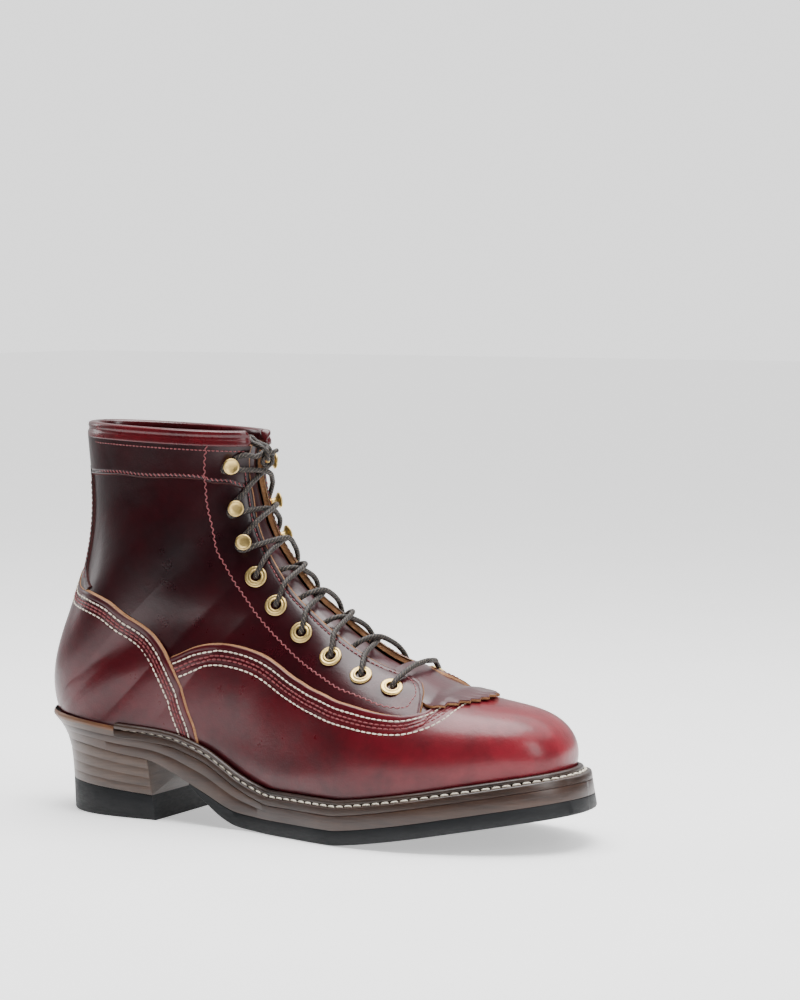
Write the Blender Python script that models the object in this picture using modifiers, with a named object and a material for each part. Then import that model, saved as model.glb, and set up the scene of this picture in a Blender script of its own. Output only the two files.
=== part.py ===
"""Logger boot, right foot: leather upper laced to the toe, leather and rubber sole, stacked heel.

X runs heel to toe, Y from the outer (lateral) side to the inner (medial) side, Z up from the floor.
All sizes are metres. Tables hold shares of the named sizes, one row for each section.
"""
import math

import bmesh
import bpy
import numpy as np
from mathutils import Vector

# Driving sizes of the boot
SOLE_LENGTH = 0.3040
BALL_WIDTH = 0.1100
HEEL_RISE = 0.0306
TOE_SPRING = 0.0185
RUBBER_THICKNESS = 0.0075
MIDSOLE_THICKNESS = 0.0072
WELT_THICKNESS = 0.0040
SHAFT_HEIGHT = 0.1532
INSTEP_HEIGHT = 0.0950
UPPER_WALL = 0.0026
OVERLAY = 0.0016
CLEARANCE = 0.0003
CURVED_GAP = 0.0005
OVERLAY_GAP = 0.0007
LIP_HEIGHT = 0.0032
LIP_WIDTH = 0.0024
LIP_LEAN = 0.0010
WELT_EDGE = 0.0008
INSOLE_PROUD = 0.0020
TONGUE_THICKNESS = 0.0026
KILTIE_THICKNESS = 0.0014
ROLL_HEIGHT = 0.0062
ROLL_WIDTH = 0.0056
RAND_HEIGHT = 0.0036
LIFT_THICKNESS = 0.0180
LIFT_SLOPE = 0.28
HEEL_TAPER = 0.0140
FITTING_SIDES = 10

# Where pieces start and stop along the sole, as shares of its length from the heel
HEEL_BREAST = 0.240
BREAST_LEAN = 0.016
RUBBER_START = 0.325
WELT_START = 0.180
STATION_GAP = 0.015
EYELET_DIAMETER = 0.0112
EYELET_BORE = 0.0052
EYELET_PROUD = 0.0012
HOOK_HEAD = 0.0082
HOOK_STEM = 0.0034
HOOK_REACH = 0.0066
EYELET_BARREL = 0.0005
LACE_DIAMETER = 0.0028
LACE_SINK = 0.90
LACE_PRESS = 0.0003

# Half widths of the sole: an ellipse in plan times these shares of the ball width
OUTLINE = {
    "share": (0.00, 0.05, 0.12, 0.20, 0.30, 0.42, 0.52, 0.62, 0.70, 0.78, 0.86, 0.93, 1.00),
    "lateral": (0.660, 0.580, 0.505, 0.425, 0.355, 0.352, 0.420, 0.508, 0.553, 0.585, 0.600, 0.615, 0.660),
    "medial": (0.660, 0.580, 0.500, 0.412, 0.330, 0.303, 0.345, 0.432, 0.530, 0.602, 0.655, 0.700, 0.740),
}

# Inset from the sole's edge to the feather line, where the upper meets the sole, and how much more
# room the lip leaves where the upper bulges over it
FEATHER = {
    "share": (0.00, 0.04, 0.15, 0.24, 0.45, 0.65, 0.85, 1.00),
    "inset": (0.0060, 0.0060, 0.0058, 0.0064, 0.0085, 0.0100, 0.0106, 0.0108),
    "ease": (0.0009, 0.0009, 0.0001, 0.0002, 0.0007, 0.0006, 0.0007, 0.0012),
}

# Side view of the sole. rise: share of the heel's rise. spring: share of the toe spring.
# thicker: extra leather in the arch, as a share of the midsole. rubber: share of its thickness.
SOLE_SIDE = {
    "share": (0.00, 0.10, 0.19, 0.24, 0.29, 0.32, 0.355, 0.388, 0.42, 0.45, 0.49,
              0.55, 0.62, 0.66, 0.70, 0.75, 0.84, 0.93, 1.00),
    "rise": (1.000, 0.958, 0.876, 0.843, 0.776, 0.696, 0.575, 0.395, 0.206, 0.085, 0.000,
             0.000, 0.000, 0.000, 0.000, 0.000, 0.000, 0.000, 0.000),
    "thicker": (0.00, 0.05, 0.20, 0.32, 0.75, 0.98, 1.10, 1.00, 0.68, 0.30, 0.00,
                0.00, 0.00, 0.00, 0.00, 0.00, 0.00, 0.00, 0.00),
    "spring": (0.00, 0.00, 0.00, 0.00, 0.00, 0.00, 0.00, 0.00, 0.00, 0.00, 0.00,
               0.00, 0.00, 0.07, 0.17, 0.31, 0.58, 0.83, 1.00),
    "rubber": (0.12, 0.12, 0.12, 0.12, 0.12, 0.12, 0.62, 0.92, 1.00, 1.00, 1.00,
               1.00, 1.00, 1.00, 1.00, 1.00, 1.00, 1.00, 1.00),
}
EDGE_FLARE = 1.25

# Sections of the upper, from the toe's tip round the heel and up to the collar.
# base, front: where a ring leaves the sole and where it ends on the ridge, shares of the foot.
# instep: ridge height over the sole. shaft: way from instep to collar. back: height of the ring's
# rear point on the shaft. lean: where along the ring its width is read from the foot's plan.
# widest: height of the widest point. crown, side: roundness above and below it.
# out: overhang past the feather line. girth: width against the foot's plan.
RINGS = {
    "row": tuple(range(24)),
    "base": (1.000, 0.9975, 0.988, 0.971, 0.941, 0.900, 0.848, 0.785, 0.712, 0.633, 0.546, 0.449,
             0.345, 0.234, 0.130, 0.054, 0.012, 0.000, -0.0140, -0.0055, 0.0190, 0.0450, 0.0665, 0.0530),
    "front": (1.000, 1.003, 1.0045, 0.995, 0.972, 0.931, 0.875, 0.816, 0.754, 0.695, 0.636, 0.581,
              0.529, 0.487, 0.452, 0.428, 0.416, 0.409, 0.404, 0.399, 0.397, 0.397, 0.400, 0.406),
    "instep": (0.000, 0.053, 0.121, 0.187, 0.264, 0.334, 0.387, 0.452, 0.560, 0.677, 0.779, 0.884,
               1.000, 1.000, 1.000, 1.000, 1.000, 1.000, 1.000, 1.000, 1.000, 1.000, 1.000, 1.000),
    "shaft": (0.000, 0.000, 0.000, 0.000, 0.000, 0.000, 0.000, 0.000, 0.000, 0.000, 0.000, 0.000,
              0.000, 0.142, 0.296, 0.438, 0.543, 0.630, 0.710, 0.784, 0.852, 0.907, 0.957, 1.000),
    "back": (0.000, 0.000, 0.000, 0.000, 0.000, 0.000, 0.000, 0.000, 0.000, 0.000, 0.000, 0.000,
             0.000, 0.000, 0.000, 0.000, 0.000, 0.000, 0.090, 0.200, 0.335, 0.495, 0.720, 1.000),
    "lean": (0.00, 0.00, 0.00, 0.00, 0.10, 0.20, 0.30, 0.30, 0.30, 0.30, 0.30, 0.30,
             0.30, 0.32, 0.34, 0.36, 0.38, 0.40, 0.44, 0.46, 0.48, 0.50, 0.50, 0.50),
    "widest": (0.10, 0.12, 0.16, 0.20, 0.24, 0.26, 0.27, 0.27, 0.27, 0.27, 0.27, 0.27,
               0.27, 0.28, 0.30, 0.31, 0.32, 0.34, 0.40, 0.44, 0.46, 0.48, 0.50, 0.50),
    "crown": (2.0, 2.0, 2.1, 2.2, 2.3, 2.3, 2.25, 2.2, 2.2, 2.25, 2.3, 2.35,
              2.35, 2.3, 2.25, 2.2, 2.2, 2.2, 2.15, 2.1, 2.1, 2.1, 2.1, 2.15),
    "side": (2.2, 2.2, 2.2, 2.3, 2.4, 2.4, 2.4, 2.4, 2.4, 2.4, 2.4, 2.4,
             2.4, 2.4, 2.3, 2.3, 2.3, 2.3, 2.2, 2.2, 2.2, 2.2, 2.2, 2.2),
    "out": (0.0000, 0.0006, 0.0012, 0.0016, 0.0018, 0.0018, 0.0018, 0.0018, 0.0018, 0.0018, 0.0018, 0.0018,
            0.0018, 0.0020, 0.0022, 0.0024, 0.0026, 0.0028, 0.0030, 0.0028, 0.0020, 0.0010, 0.000, 0.000),
    "girth": (1.00, 1.00, 1.00, 1.00, 1.00, 1.00, 1.00, 1.00, 1.00, 1.00, 1.00, 1.00,
              0.99, 0.98, 0.97, 0.96, 0.96, 0.96, 0.96, 0.95, 0.94, 0.92, 0.90, 0.92),
}
COLLAR_FRONT = 0.970
INSTEP_ROW = 12
HEEL_ROW = 17
LAST_ROW = 23

# Where the upper's surface is divided: rows from toe to collar, and lines from the sole to the ridge.
# Every piece laid on the upper uses the same divisions, so that their faces run side by side.
ROWS = np.array((0, 0.3, 0.8, 1.4, 2, 3, 4, 5, 6, 7.1, 7.7, 8.2, 8.8, 9.5, 10.2, 10.8, 11.3, 11.7, 12.05,
                 12.6, 13.1, 13.74, 14.8, 15.8, 16.5, 17, 17.4, 17.9, 18.5, 19.3, 20.1, 20.6, 21.02,
                 21.04, 21.5, 22.2, 23))
LINES = np.array((1.0, 0.91, 0.79, 0.66, 0.53, 0.41, 0.30, 0.20, 0.10, 0.0))
SNAP = 0.022
EDGE_JUMP = 0.25
ROW_SHARE = 55.0

COLLAR_HEIGHT = SHAFT_HEIGHT - ROLL_HEIGHT - 2 * CLEARANCE
HEEL_BACK = -SOLE_LENGTH / 2
FINE = np.linspace(0.0, 1.0, 401)


def curve(table, column, at, key="share"):
    """Smooth curve through a table's column, with no overshoot between its rows."""
    x = np.asarray(table[key], float)
    y = np.asarray(table[column], float)
    at = np.clip(np.asarray(at, float), x[0], x[-1])
    step = np.diff(x)
    rise = np.diff(y) / step
    slope = np.empty_like(y)
    slope[0], slope[-1] = rise[0], rise[-1]
    same = rise[:-1] * rise[1:] > 0
    near = 2 * step[1:] + step[:-1]
    far = step[1:] + 2 * step[:-1]
    safe = np.where(same, rise[:-1] * rise[1:], 1.0)
    mean = (near + far) * safe / (near * rise[1:] + far * rise[:-1] + np.where(same, 0.0, 1.0))
    slope[1:-1] = np.where(same, mean, 0.0)
    row = np.clip(np.searchsorted(x, at, side="right") - 1, 0, len(x) - 2)
    t = (at - x[row]) / step[row]
    left = y[row] * (1 + 2 * t) * (1 - t) ** 2 + slope[row] * step[row] * t * (1 - t) ** 2
    right = y[row + 1] * t ** 2 * (3 - 2 * t) + slope[row + 1] * step[row] * t ** 2 * (t - 1)
    return left + right


def plan(turn, side, inset=0.0):
    """A point of the sole's edge, moved in by inset. turn 0 is the heel's back, 1 the toe's tip."""
    def edge(a):
        share = (1 - np.cos(math.pi * a)) / 2
        half = np.sin(math.pi * a) * curve(OUTLINE, "medial" if side > 0 else "lateral", share)
        return HEEL_BACK + share * SOLE_LENGTH, side * half * BALL_WIDTH

    turn = np.asarray(turn, float)
    x, y = edge(turn)
    near, far = edge(turn - 1e-4), edge(turn + 1e-4)
    along = np.stack([far[0] - near[0], far[1] - near[1]])
    along = along / np.linalg.norm(along, axis=0)
    return x + side * along[1] * inset, y - side * along[0] * inset


def sole_share(x):
    return (np.asarray(x, float) - HEEL_BACK) / SOLE_LENGTH


def sole_top(x):
    """Height of the welt's flat top, on which the upper stands."""
    share = sole_share(x)
    ball = RUBBER_THICKNESS + MIDSOLE_THICKNESS + WELT_THICKNESS
    return ball + curve(SOLE_SIDE, "rise", share) * HEEL_RISE + curve(SOLE_SIDE, "spring", share) * TOE_SPRING


def leather_bottom(x):
    """Underside of the leather midsole."""
    more = 1 + curve(SOLE_SIDE, "thicker", sole_share(x))
    return sole_top(x) - WELT_THICKNESS - MIDSOLE_THICKNESS * more


def rubber_bottom(x):
    """Underside of the rubber sole; it thins out to nothing in the arch."""
    low = leather_bottom(x) - RUBBER_THICKNESS * curve(SOLE_SIDE, "rubber", sole_share(x))
    return np.maximum(low, 0.0)


def edge_point(turn, side, inset, height_of):
    """A point at the sole's edge on the surface height_of; the toe's edge leans out to the floor."""
    x, y = plan(turn, side, inset)
    share = sole_share(x)
    slope = (curve(SOLE_SIDE, "spring", share + 0.01) - curve(SOLE_SIDE, "spring", share - 0.01))
    slope = slope * TOE_SPRING / (0.02 * SOLE_LENGTH)
    x = x - slope * EDGE_FLARE * (height_of(x) - rubber_bottom(x))
    return x, y, height_of(x)


def feather(turn, side, out=0.0):
    """The feather line, where the upper meets the welt."""
    share = (1 - np.cos(math.pi * np.asarray(turn, float))) / 2
    return edge_point(turn, side, curve(FEATHER, "inset", share) - out, sole_top)


FEATHER_SIDES = {side: feather(FINE, side) for side in (-1, 1)}
FOOT_BACK = float(FEATHER_SIDES[1][0][0])
FOOT_LENGTH = float(FEATHER_SIDES[1][0][-1]) - FOOT_BACK


def feather_width(x, side):
    line = FEATHER_SIDES[side]
    turn = np.interp(x, line[0], FINE)
    return np.abs(np.interp(turn, FINE, line[1]))


def ring_ends(row):
    """Base and ridge points of a ring, in the plane of the boot's length."""
    base_x = FOOT_BACK + curve(RINGS, "base", row, "row") * FOOT_LENGTH
    base_z = sole_top(base_x) + CLEARANCE
    base_z = base_z + curve(RINGS, "back", row, "row") * COLLAR_HEIGHT
    front_x = FOOT_BACK + curve(RINGS, "front", row, "row") * FOOT_LENGTH
    instep_x = FOOT_BACK + RINGS["front"][INSTEP_ROW] * FOOT_LENGTH
    rise = CLEARANCE + curve(RINGS, "instep", row, "row") * INSTEP_HEIGHT
    front_z = sole_top(np.maximum(front_x, instep_x)) + rise
    instep_z = sole_top(instep_x) + CLEARANCE + INSTEP_HEIGHT
    collar_z = sole_top(HEEL_BACK) + CLEARANCE + COLLAR_FRONT * COLLAR_HEIGHT
    front_z = front_z + curve(RINGS, "shaft", row, "row") * (collar_z - instep_z)
    return base_x, base_z, front_x, front_z


def half_rings(row, side):
    """Half rings as fine lines of points from the sole to the ridge, one line for each row value."""
    base_x, base_z, front_x, front_z = ring_ends(row)
    foot = np.where(row <= HEEL_ROW, feather_width(base_x, side), 0.0)
    read = base_x + curve(RINGS, "lean", row, "row") * (front_x - base_x)
    wide = feather_width(read, side) * curve(RINGS, "girth", row, "row") + curve(RINGS, "out", row, "row")
    wide = np.maximum(wide, foot * 1.002)
    high = curve(RINGS, "widest", row, "row")
    crown = curve(RINGS, "crown", row, "row")
    lower = curve(RINGS, "side", row, "row")
    ratio = np.clip(foot / np.maximum(wide, 1e-9), 0.0, 0.998)
    drop = high / (1 - ratio ** lower) ** (1 / lower)
    last = np.arccos(ratio ** (lower / 2))
    turn = np.linspace(1.0, 0.0, 40)[None, :] * last[:, None]
    low_y = wide[:, None] * np.cos(turn) ** (2 / lower[:, None])
    low_h = high[:, None] - drop[:, None] * np.sin(turn) ** (2 / lower[:, None])
    turn = np.linspace(0.0, math.pi / 2, 60)[None, 1:]
    top_y = wide[:, None] * np.cos(turn) ** (2 / crown[:, None])
    top_h = high[:, None] + (1 - high[:, None]) * np.sin(turn) ** (2 / crown[:, None])
    y = np.concatenate([low_y, top_y], axis=1)
    y[:, -1] = 0.0
    h = np.concatenate([low_h, top_h], axis=1)
    x = base_x[:, None] + h * (front_x - base_x)[:, None]
    z = base_z[:, None] + h * (front_z - base_z)[:, None]
    return np.stack([x, side * y, z], axis=-1)


def on_ring(row, up, side):
    """Points of the upper's surface: row along the table, up from the sole (0) to the ridge (1)."""
    lines = half_rings(row, side)
    steps = np.linalg.norm(np.diff(lines, axis=1), axis=2)
    run = np.concatenate([np.zeros((len(row), 1)), np.cumsum(steps, axis=1)], axis=1)
    points = np.empty((len(row), 3))
    for i in range(len(row)):
        at = up[i] * run[i, -1]
        for axis in range(3):
            points[i, axis] = np.interp(at, run[i], lines[i, :, axis])
    return points


def skin(row, across, offset=0.0):
    """The upper's surface. row runs toe to collar, across runs from the outer side's sole (-1) over
    the ridge (0) to the inner side's sole (1). offset moves the point out along the normal."""
    row, across, offset = np.broadcast_arrays(np.asarray(row, float), np.asarray(across, float), offset)
    shape = row.shape
    row, across, offset = row.ravel(), across.ravel(), offset.ravel()

    def place(r, a):
        r = np.clip(r, 0.0, LAST_ROW)
        closed = r > HEEL_ROW
        a = np.where(closed, (a + 1) % 2 - 1, np.clip(a, -1.0, 1.0))
        outer = on_ring(r, 1 - np.abs(a), -1)
        inner = on_ring(r, 1 - np.abs(a), 1)
        return np.where((a < 0)[:, None], outer, inner)

    points = place(row, across)
    tip = row < 0.02
    r = np.where(tip, 0.3, row)
    a = np.where(tip, 0.0, across)
    along = place(r + 0.02, a) - place(r - 0.02, a)
    over = place(r, a + 0.01) - place(r, a - 0.01)
    normal = np.cross(over, along)
    normal[tip, 1] = 0.0
    standing = (np.abs(across) > 0.999) & (row <= HEEL_ROW)
    normal[standing, 2] = 0.0
    normal /= np.linalg.norm(normal, axis=1)[:, None]
    points = points + normal * offset[:, None]
    floor = sole_top(points[:, 0]) + CURVED_GAP
    points[:, 2] = np.where(row <= HEEL_ROW, np.maximum(points[:, 2], floor), points[:, 2])
    return points.reshape(shape + (3,))


def half_girth(row, side):
    """Length of a half ring from the sole to the ridge."""
    lines = half_rings(np.atleast_1d(np.asarray(row, float)), side)
    return np.linalg.norm(np.diff(lines, axis=1), axis=2).sum(axis=1)


def from_ridge(row, distance, side):
    """The across value of a point that lies a distance down from the ridge."""
    return side * np.asarray(distance) / half_girth(row, side)


# Edges on the upper. Distances from the ridge are in metres, across shares are of the half ring.
THROAT = {
    "row": (7.7, 7.85, 8.2, 9.0, 10.0, 11.0, 12.0, 13.0, 14.0, 15.0, 16.5, 18.0, 20.5, 23.0),
    "lateral": (0.0, 0.0085, 0.0135, 0.0155, 0.0158, 0.0150, 0.0136, 0.0125, 0.0110, 0.0098, 0.0088,
                0.0080, 0.0080, 0.0090),
    "medial": (0.0, 0.0070, 0.0095, 0.0105, 0.0103, 0.0095, 0.0085, 0.0078, 0.0070, 0.0064, 0.0060,
               0.0056, 0.0056, 0.0062),
}
COUNTER_EDGE = {
    "row": (12.05, 12.3, 12.7, 13.2, 13.8, 14.8, 16.4, 18.3, 19.7, 20.5, 21.02),
    "across": (1.0, 0.915, 0.81, 0.705, 0.625, 0.560, 0.525, 0.575, 0.700, 0.815, 0.93),
}
VAMP_EDGE = {
    "row": (7.10, 7.30, 7.5, 7.9, 8.4, 9.5, 10.2, 10.9, 12.0, 12.6, 13.1, 13.5, 13.74),
    "across": (0.0, 0.38, 0.43, 0.475, 0.485, 0.475, 0.450, 0.432, 0.440, 0.452, 0.482, 0.54, 0.615),
}
BACKSTAY_EDGE = {
    "row": (20.05, 20.6, 21.02, 21.5, 22.2),
    "across": (0.725, 0.800, 0.845, 0.862, 0.872),
}
KILTIE_SIDE = {
    "row": (6.10, 7.3, 7.6, 7.9, 8.3, 8.6),
    "half": (0.0280, 0.0280, 0.0240, 0.0170, 0.0115, 0.0095),
}
KILTIE_TEETH = 11
KILTIE_TOOTH = 0.13
KILTIE_CURVE = 0.95
SEAM_GAP = 0.006
TONGUE_START = 8.0
TONGUE_END = 22.5
TONGUE_LAP = 0.0085

# Eyelets and hooks from the toe up: row, and distance from the ridge on each side
EYELETS = {
    "row": (8.55, 9.50, 10.55, 11.60, 12.70, 13.80),
    "lateral": (0.0282, 0.0290, 0.0276, 0.0262, 0.0242, 0.0234),
    "medial": (0.0232, 0.0240, 0.0226, 0.0212, 0.0195, 0.0190),
}
HOOKS = {
    "row": (15.15, 17.60, 21.40),
    "lateral": (0.0208, 0.0203, 0.0198),
    "medial": (0.0170, 0.0168, 0.0165),
}
SIDE_NAME = {-1: "lateral", 1: "medial"}


def material(name, colour, rough, metal=0.0):
    made = bpy.data.materials.new(name)
    made.use_nodes = True
    shader = made.node_tree.nodes["Principled BSDF"]
    shader.inputs["Base Color"].default_value = (*colour, 1.0)
    shader.inputs["Roughness"].default_value = rough
    shader.inputs["Metallic"].default_value = metal
    return made


def new_object(name, points, faces, collection, look):
    """A mesh object from points and faces, with coincident points welded and normals set."""
    mesh = bpy.data.meshes.new(name)
    made = bmesh.new()
    verts = [made.verts.new(Vector([float(c) for c in p])) for p in points]
    for face in faces:
        made.faces.new([verts[i] for i in face])
    bmesh.ops.remove_doubles(made, verts=made.verts, dist=0.00002)
    bmesh.ops.recalc_face_normals(made, faces=made.faces)
    made.to_mesh(mesh)
    made.free()
    mesh.materials.append(look)
    item = bpy.data.objects.new(name, mesh)
    collection.objects.link(item)
    return item


def grid_faces(rows, columns, first=0, closed=False):
    """Quads of a grid of points, row after row."""
    faces = []
    last = columns if closed else columns - 1
    for i in range(rows - 1):
        for j in range(last):
            a = first + i * columns + j
            b = first + i * columns + (j + 1) % columns
            faces.append((a, b, b + columns, a + columns))
    return faces


def net(rows, low, high):
    """The divisions of a piece that lies between two edges on both sides of the upper: spots as row
    and across, and faces between them. Lines beyond an edge are drawn back to it, and the two next to
    the ridge follow the tongue and the throat. Where an edge jumps over lines the piece ends square."""
    spots, faces = {}, []
    throat = {side: throat_edge(rows, side) for side in (-1, 1)}
    lap = {side: throat_edge(rows, side, TONGUE_LAP) for side in (-1, 1)}
    for side in (-1, 1):
        lines = []
        for i, (row, bottom, top) in enumerate(zip(rows, low, high)):
            line = np.where(LINES > bottom - SNAP, bottom, LINES)
            if row > THROAT["row"][0]:
                line[-3:-1] = lap[side][i], throat[side][i]
            line = np.where(line < top + SNAP, top, line)
            line[0] = bottom
            keys = []
            for across in line:
                shared = row == 0 or across == 0 or (across == 1 and row >= HEEL_ROW)
                key = (float(row), 0.0 if row == 0 else float(across) * (1 if shared else side))
                keys.append(spots.setdefault(key, len(spots)))
            lines.append(keys)
        places = list(spots)
        for i in range(len(rows) - 1):
            for j in range(len(LINES) - 1):
                a, b, c, d = lines[i][j], lines[i][j + 1], lines[i + 1][j + 1], lines[i + 1][j]
                widest = min(abs(places[a][1]), abs(places[d][1]))
                if abs(high[i + 1] - high[i]) > EDGE_JUMP and widest < max(high[i], high[i + 1]) + SNAP:
                    continue
                faces += [list(face) for face in ((a, b, c), (a, c, d)) if len(set(face)) == 3]
    return np.array(list(spots)), faces


def shell(name, spots, faces, near, far, collection, look):
    """A wall of leather between two offsets from the upper's surface, closed along its edges."""
    points = np.concatenate([skin(spots[:, 0], spots[:, 1], near), skin(spots[:, 0], spots[:, 1], far)])
    count = len(spots)
    edges = {}
    for face in faces:
        for a, b in zip(face, face[1:] + face[:1]):
            edges[(min(a, b), max(a, b))] = edges.get((min(a, b), max(a, b)), 0) + 1
    solid = list(faces) + [[spot + count for spot in face[::-1]] for face in faces]
    solid += [(a, b, b + count, a + count) for (a, b), uses in edges.items() if uses == 1]
    return new_object(name, points, solid, collection, look)


def throat_edge(rows, side, beyond=0.0):
    distance = np.where(rows <= THROAT["row"][0], 0.0, curve(THROAT, SIDE_NAME[side], rows, "row") + beyond)
    return np.abs(from_ridge(rows, distance, side))


def span(first, last):
    return ROWS[(ROWS >= first) & (ROWS <= last)]


def upper(collection, look):
    edges = {side: throat_edge(ROWS, side) for side in (-1, 1)}
    spots, faces = net(ROWS, np.ones(len(ROWS)), edges[-1])
    inner_spots, inner_faces = net(ROWS, np.ones(len(ROWS)), edges[1])
    return shell("upper", *one_side_each(spots, faces, inner_spots, inner_faces),
                 -UPPER_WALL, 0.0, collection, look)


def one_side_each(outer, outer_faces, inner, inner_faces):
    """The outer side of one net and the inner side of another, joined along the ridge and the back."""
    spots, faces = {}, []
    for half, net_faces, side in ((outer, outer_faces, -1), (inner, inner_faces, 1)):
        for face in net_faces:
            reach = sum(half[spot][1] for spot in face if half[spot][0] > 0 and abs(half[spot][1]) < 1)
            if reach * side > 0:
                faces.append([spots.setdefault(tuple(half[spot]), len(spots)) for spot in face])
    return np.array(list(spots)), faces


def vamp(collection, look):
    rows = span(0.0, VAMP_EDGE["row"][-1])
    low = np.where(rows >= COUNTER_EDGE["row"][0], curve(COUNTER_EDGE, "across", rows, "row") - SEAM_GAP, 1.0)
    spots, faces = net(rows, low, curve(VAMP_EDGE, "across", rows, "row"))
    return shell("vamp", spots, faces, OVERLAY_GAP, OVERLAY_GAP + OVERLAY, collection, look)


def counter(collection, look):
    rows = span(COUNTER_EDGE["row"][0], COUNTER_EDGE["row"][-1])
    spots, faces = net(rows, np.ones(len(rows)), curve(COUNTER_EDGE, "across", rows, "row"))
    return shell("counter", spots, faces, OVERLAY_GAP, OVERLAY_GAP + OVERLAY, collection, look)


def backstay(collection, look):
    rows = span(*[BACKSTAY_EDGE["row"][k] for k in (0, -1)])
    beside = rows <= COUNTER_EDGE["row"][-1]
    low = np.where(beside, curve(COUNTER_EDGE, "across", rows, "row") - SEAM_GAP, 1.0)
    spots, faces = net(rows, low, curve(BACKSTAY_EDGE, "across", rows, "row"))
    return shell("backstay", spots, faces, OVERLAY_GAP, OVERLAY_GAP + OVERLAY * 0.75, collection, look)


def tongue(collection, look):
    rows = span(TONGUE_START, TONGUE_END)
    nets = ()
    for side in (-1, 1):
        nets += net(rows, throat_edge(rows, side, TONGUE_LAP), 0.0 * rows)
    lowest = UPPER_WALL + CURVED_GAP
    return shell("tongue", *one_side_each(*nets), -lowest - TONGUE_THICKNESS, -lowest, collection, look)


def kiltie(collection, look):
    """The false tongue: its front edge is pinked into teeth, and it lies on the vamp."""
    across = np.linspace(-1.0, 1.0, 2 * KILTIE_TEETH + 1)
    tooth = KILTIE_TOOTH * (np.arange(len(across)) % 2)
    front = KILTIE_SIDE["row"][0] + KILTIE_CURVE * np.abs(across) ** 1.7 + tooth
    share = np.linspace(0.0, 1.0, 5)[:, None]
    rows = front + (KILTIE_SIDE["row"][-1] - front) * share
    distance = across * curve(KILTIE_SIDE, "half", rows, "row")
    spots = np.stack([rows.ravel(), distance.ravel()], axis=1)
    for side in (-1, 1):
        here = spots[:, 1] * side > 0
        spots[here, 1] = from_ridge(spots[here, 0], np.abs(spots[here, 1]), side)
    faces = [list(face) for face in grid_faces(*rows.shape)]
    under = OVERLAY_GAP + OVERLAY + CURVED_GAP
    return shell("false_tongue", spots, faces, under, under + KILTIE_THICKNESS, collection, look)


def sweep(name, rings, collection, look):
    """A solid from closed sections of points, one after the other, with its two ends filled."""
    count, size = rings.shape[:2]
    faces = grid_faces(count, size, closed=True)
    for row in (0, count - 1):
        if len(np.unique(rings[row].round(6), axis=0)) == size:
            faces.append(tuple(range(row * size, (row + 1) * size)))
    return new_object(name, rings.reshape(-1, 3), faces, collection, look)


def collar_roll(collection, look):
    """The rolled binding on the collar's edge: two soft ridges, open at the throat."""
    ends = [float(throat_edge(np.array([float(LAST_ROW)]), side)[0]) for side in (-1, 1)]
    outer = np.linspace(-ends[0], -1.0, 13)
    inner = np.linspace(1.0, ends[1], 13)[1:]
    across = np.concatenate([outer, inner])
    middle = skin(np.full(len(across), LAST_ROW), across, -UPPER_WALL / 2)
    along = np.gradient(middle, axis=0)
    outward = np.stack([along[:, 1], -along[:, 0], np.zeros(len(along))], axis=1)
    outward /= np.linalg.norm(outward, axis=1)[:, None]
    if outward[0].dot(middle[0] - middle.mean(axis=0)) < 0:
        outward = -outward
    high, wide = ROLL_HEIGHT, ROLL_WIDTH / 2
    section = ((0.50, 0.00), (0.95, 0.12), (1.00, 0.32), (0.86, 0.50), (0.94, 0.72), (0.62, 0.95),
               (0.00, 1.00), (-0.75, 0.85), (-1.00, 0.50), (-0.75, 0.10))
    rings = np.stack([middle + outward * (wide * out) + np.array((0, 0, 2 * CLEARANCE + high * up))
                      for out, up in section], axis=1)
    return sweep("collar_roll", rings, collection, look)


# Stations along the sole stand under the rows of the upper, as shares of the foot from the heel, and
# a few more go round the heel's back
HEEL_STATIONS = (0.002, 0.016, 0.040, 0.100)
ROW_STATIONS = np.sort(curve(RINGS, "base", ROWS[ROWS <= HEEL_ROW], "row"))
STATIONS = np.sort(np.append(ROW_STATIONS, HEEL_STATIONS))


# The heel's curved side: how far its edge draws in with depth below the seat, and where round it
HEEL_SIDE = {
    "depth": (0.00, 0.09, 0.18, 0.32, 0.65, 1.00),
    "in": (0.00, 0.30, 0.54, 0.76, 0.93, 1.00),
}
HEEL_ROUND = {
    "share": (0.00, 0.03, 0.08, 0.15, 0.24, 0.29, 1.00),
    "rear": (1.00, 0.80, 0.45, 0.25, 0.16, 0.00, 0.00),
}


def foot_share(sole):
    """A share of the sole's length turned into a share of the foot's."""
    return (HEEL_BACK + sole * SOLE_LENGTH - FOOT_BACK) / FOOT_LENGTH


def under(station, side):
    """Where round the sole's edge a station lies: its feather point stands under the upper's row."""
    return np.interp(FOOT_BACK + np.asarray(station) * FOOT_LENGTH, FEATHER_SIDES[side][0], FINE)


def feather_inset(share):
    return curve(FEATHER, "inset", share)


def heel_inset(share, height_of):
    """How far the heel's edge is drawn in at a height."""
    x = HEEL_BACK + share * SOLE_LENGTH
    seat = sole_top(HEEL_BACK)
    depth = np.clip((sole_top(x) - height_of(x)) / seat, 0.0, 1.0)
    return HEEL_TAPER * curve(HEEL_SIDE, "in", depth, "depth") * curve(HEEL_ROUND, "rear", share)


def slab(name, levels, collection, look):
    """A layer of the sole. Each level gives its stations, its inset and its height."""
    sides = {-1: [], 1: []}
    for stations, inset, height_of in levels:
        for side in (-1, 1):
            turn = under(stations, side)
            share = (1 - np.cos(math.pi * turn)) / 2
            x, y, z = edge_point(turn, side, inset(share), height_of)
            sides[side].append(np.stack([x, y, z], axis=1))
    rings = np.stack(sides[-1] + sides[1][::-1], axis=1)
    return sweep(name, rings, collection, look)


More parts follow.
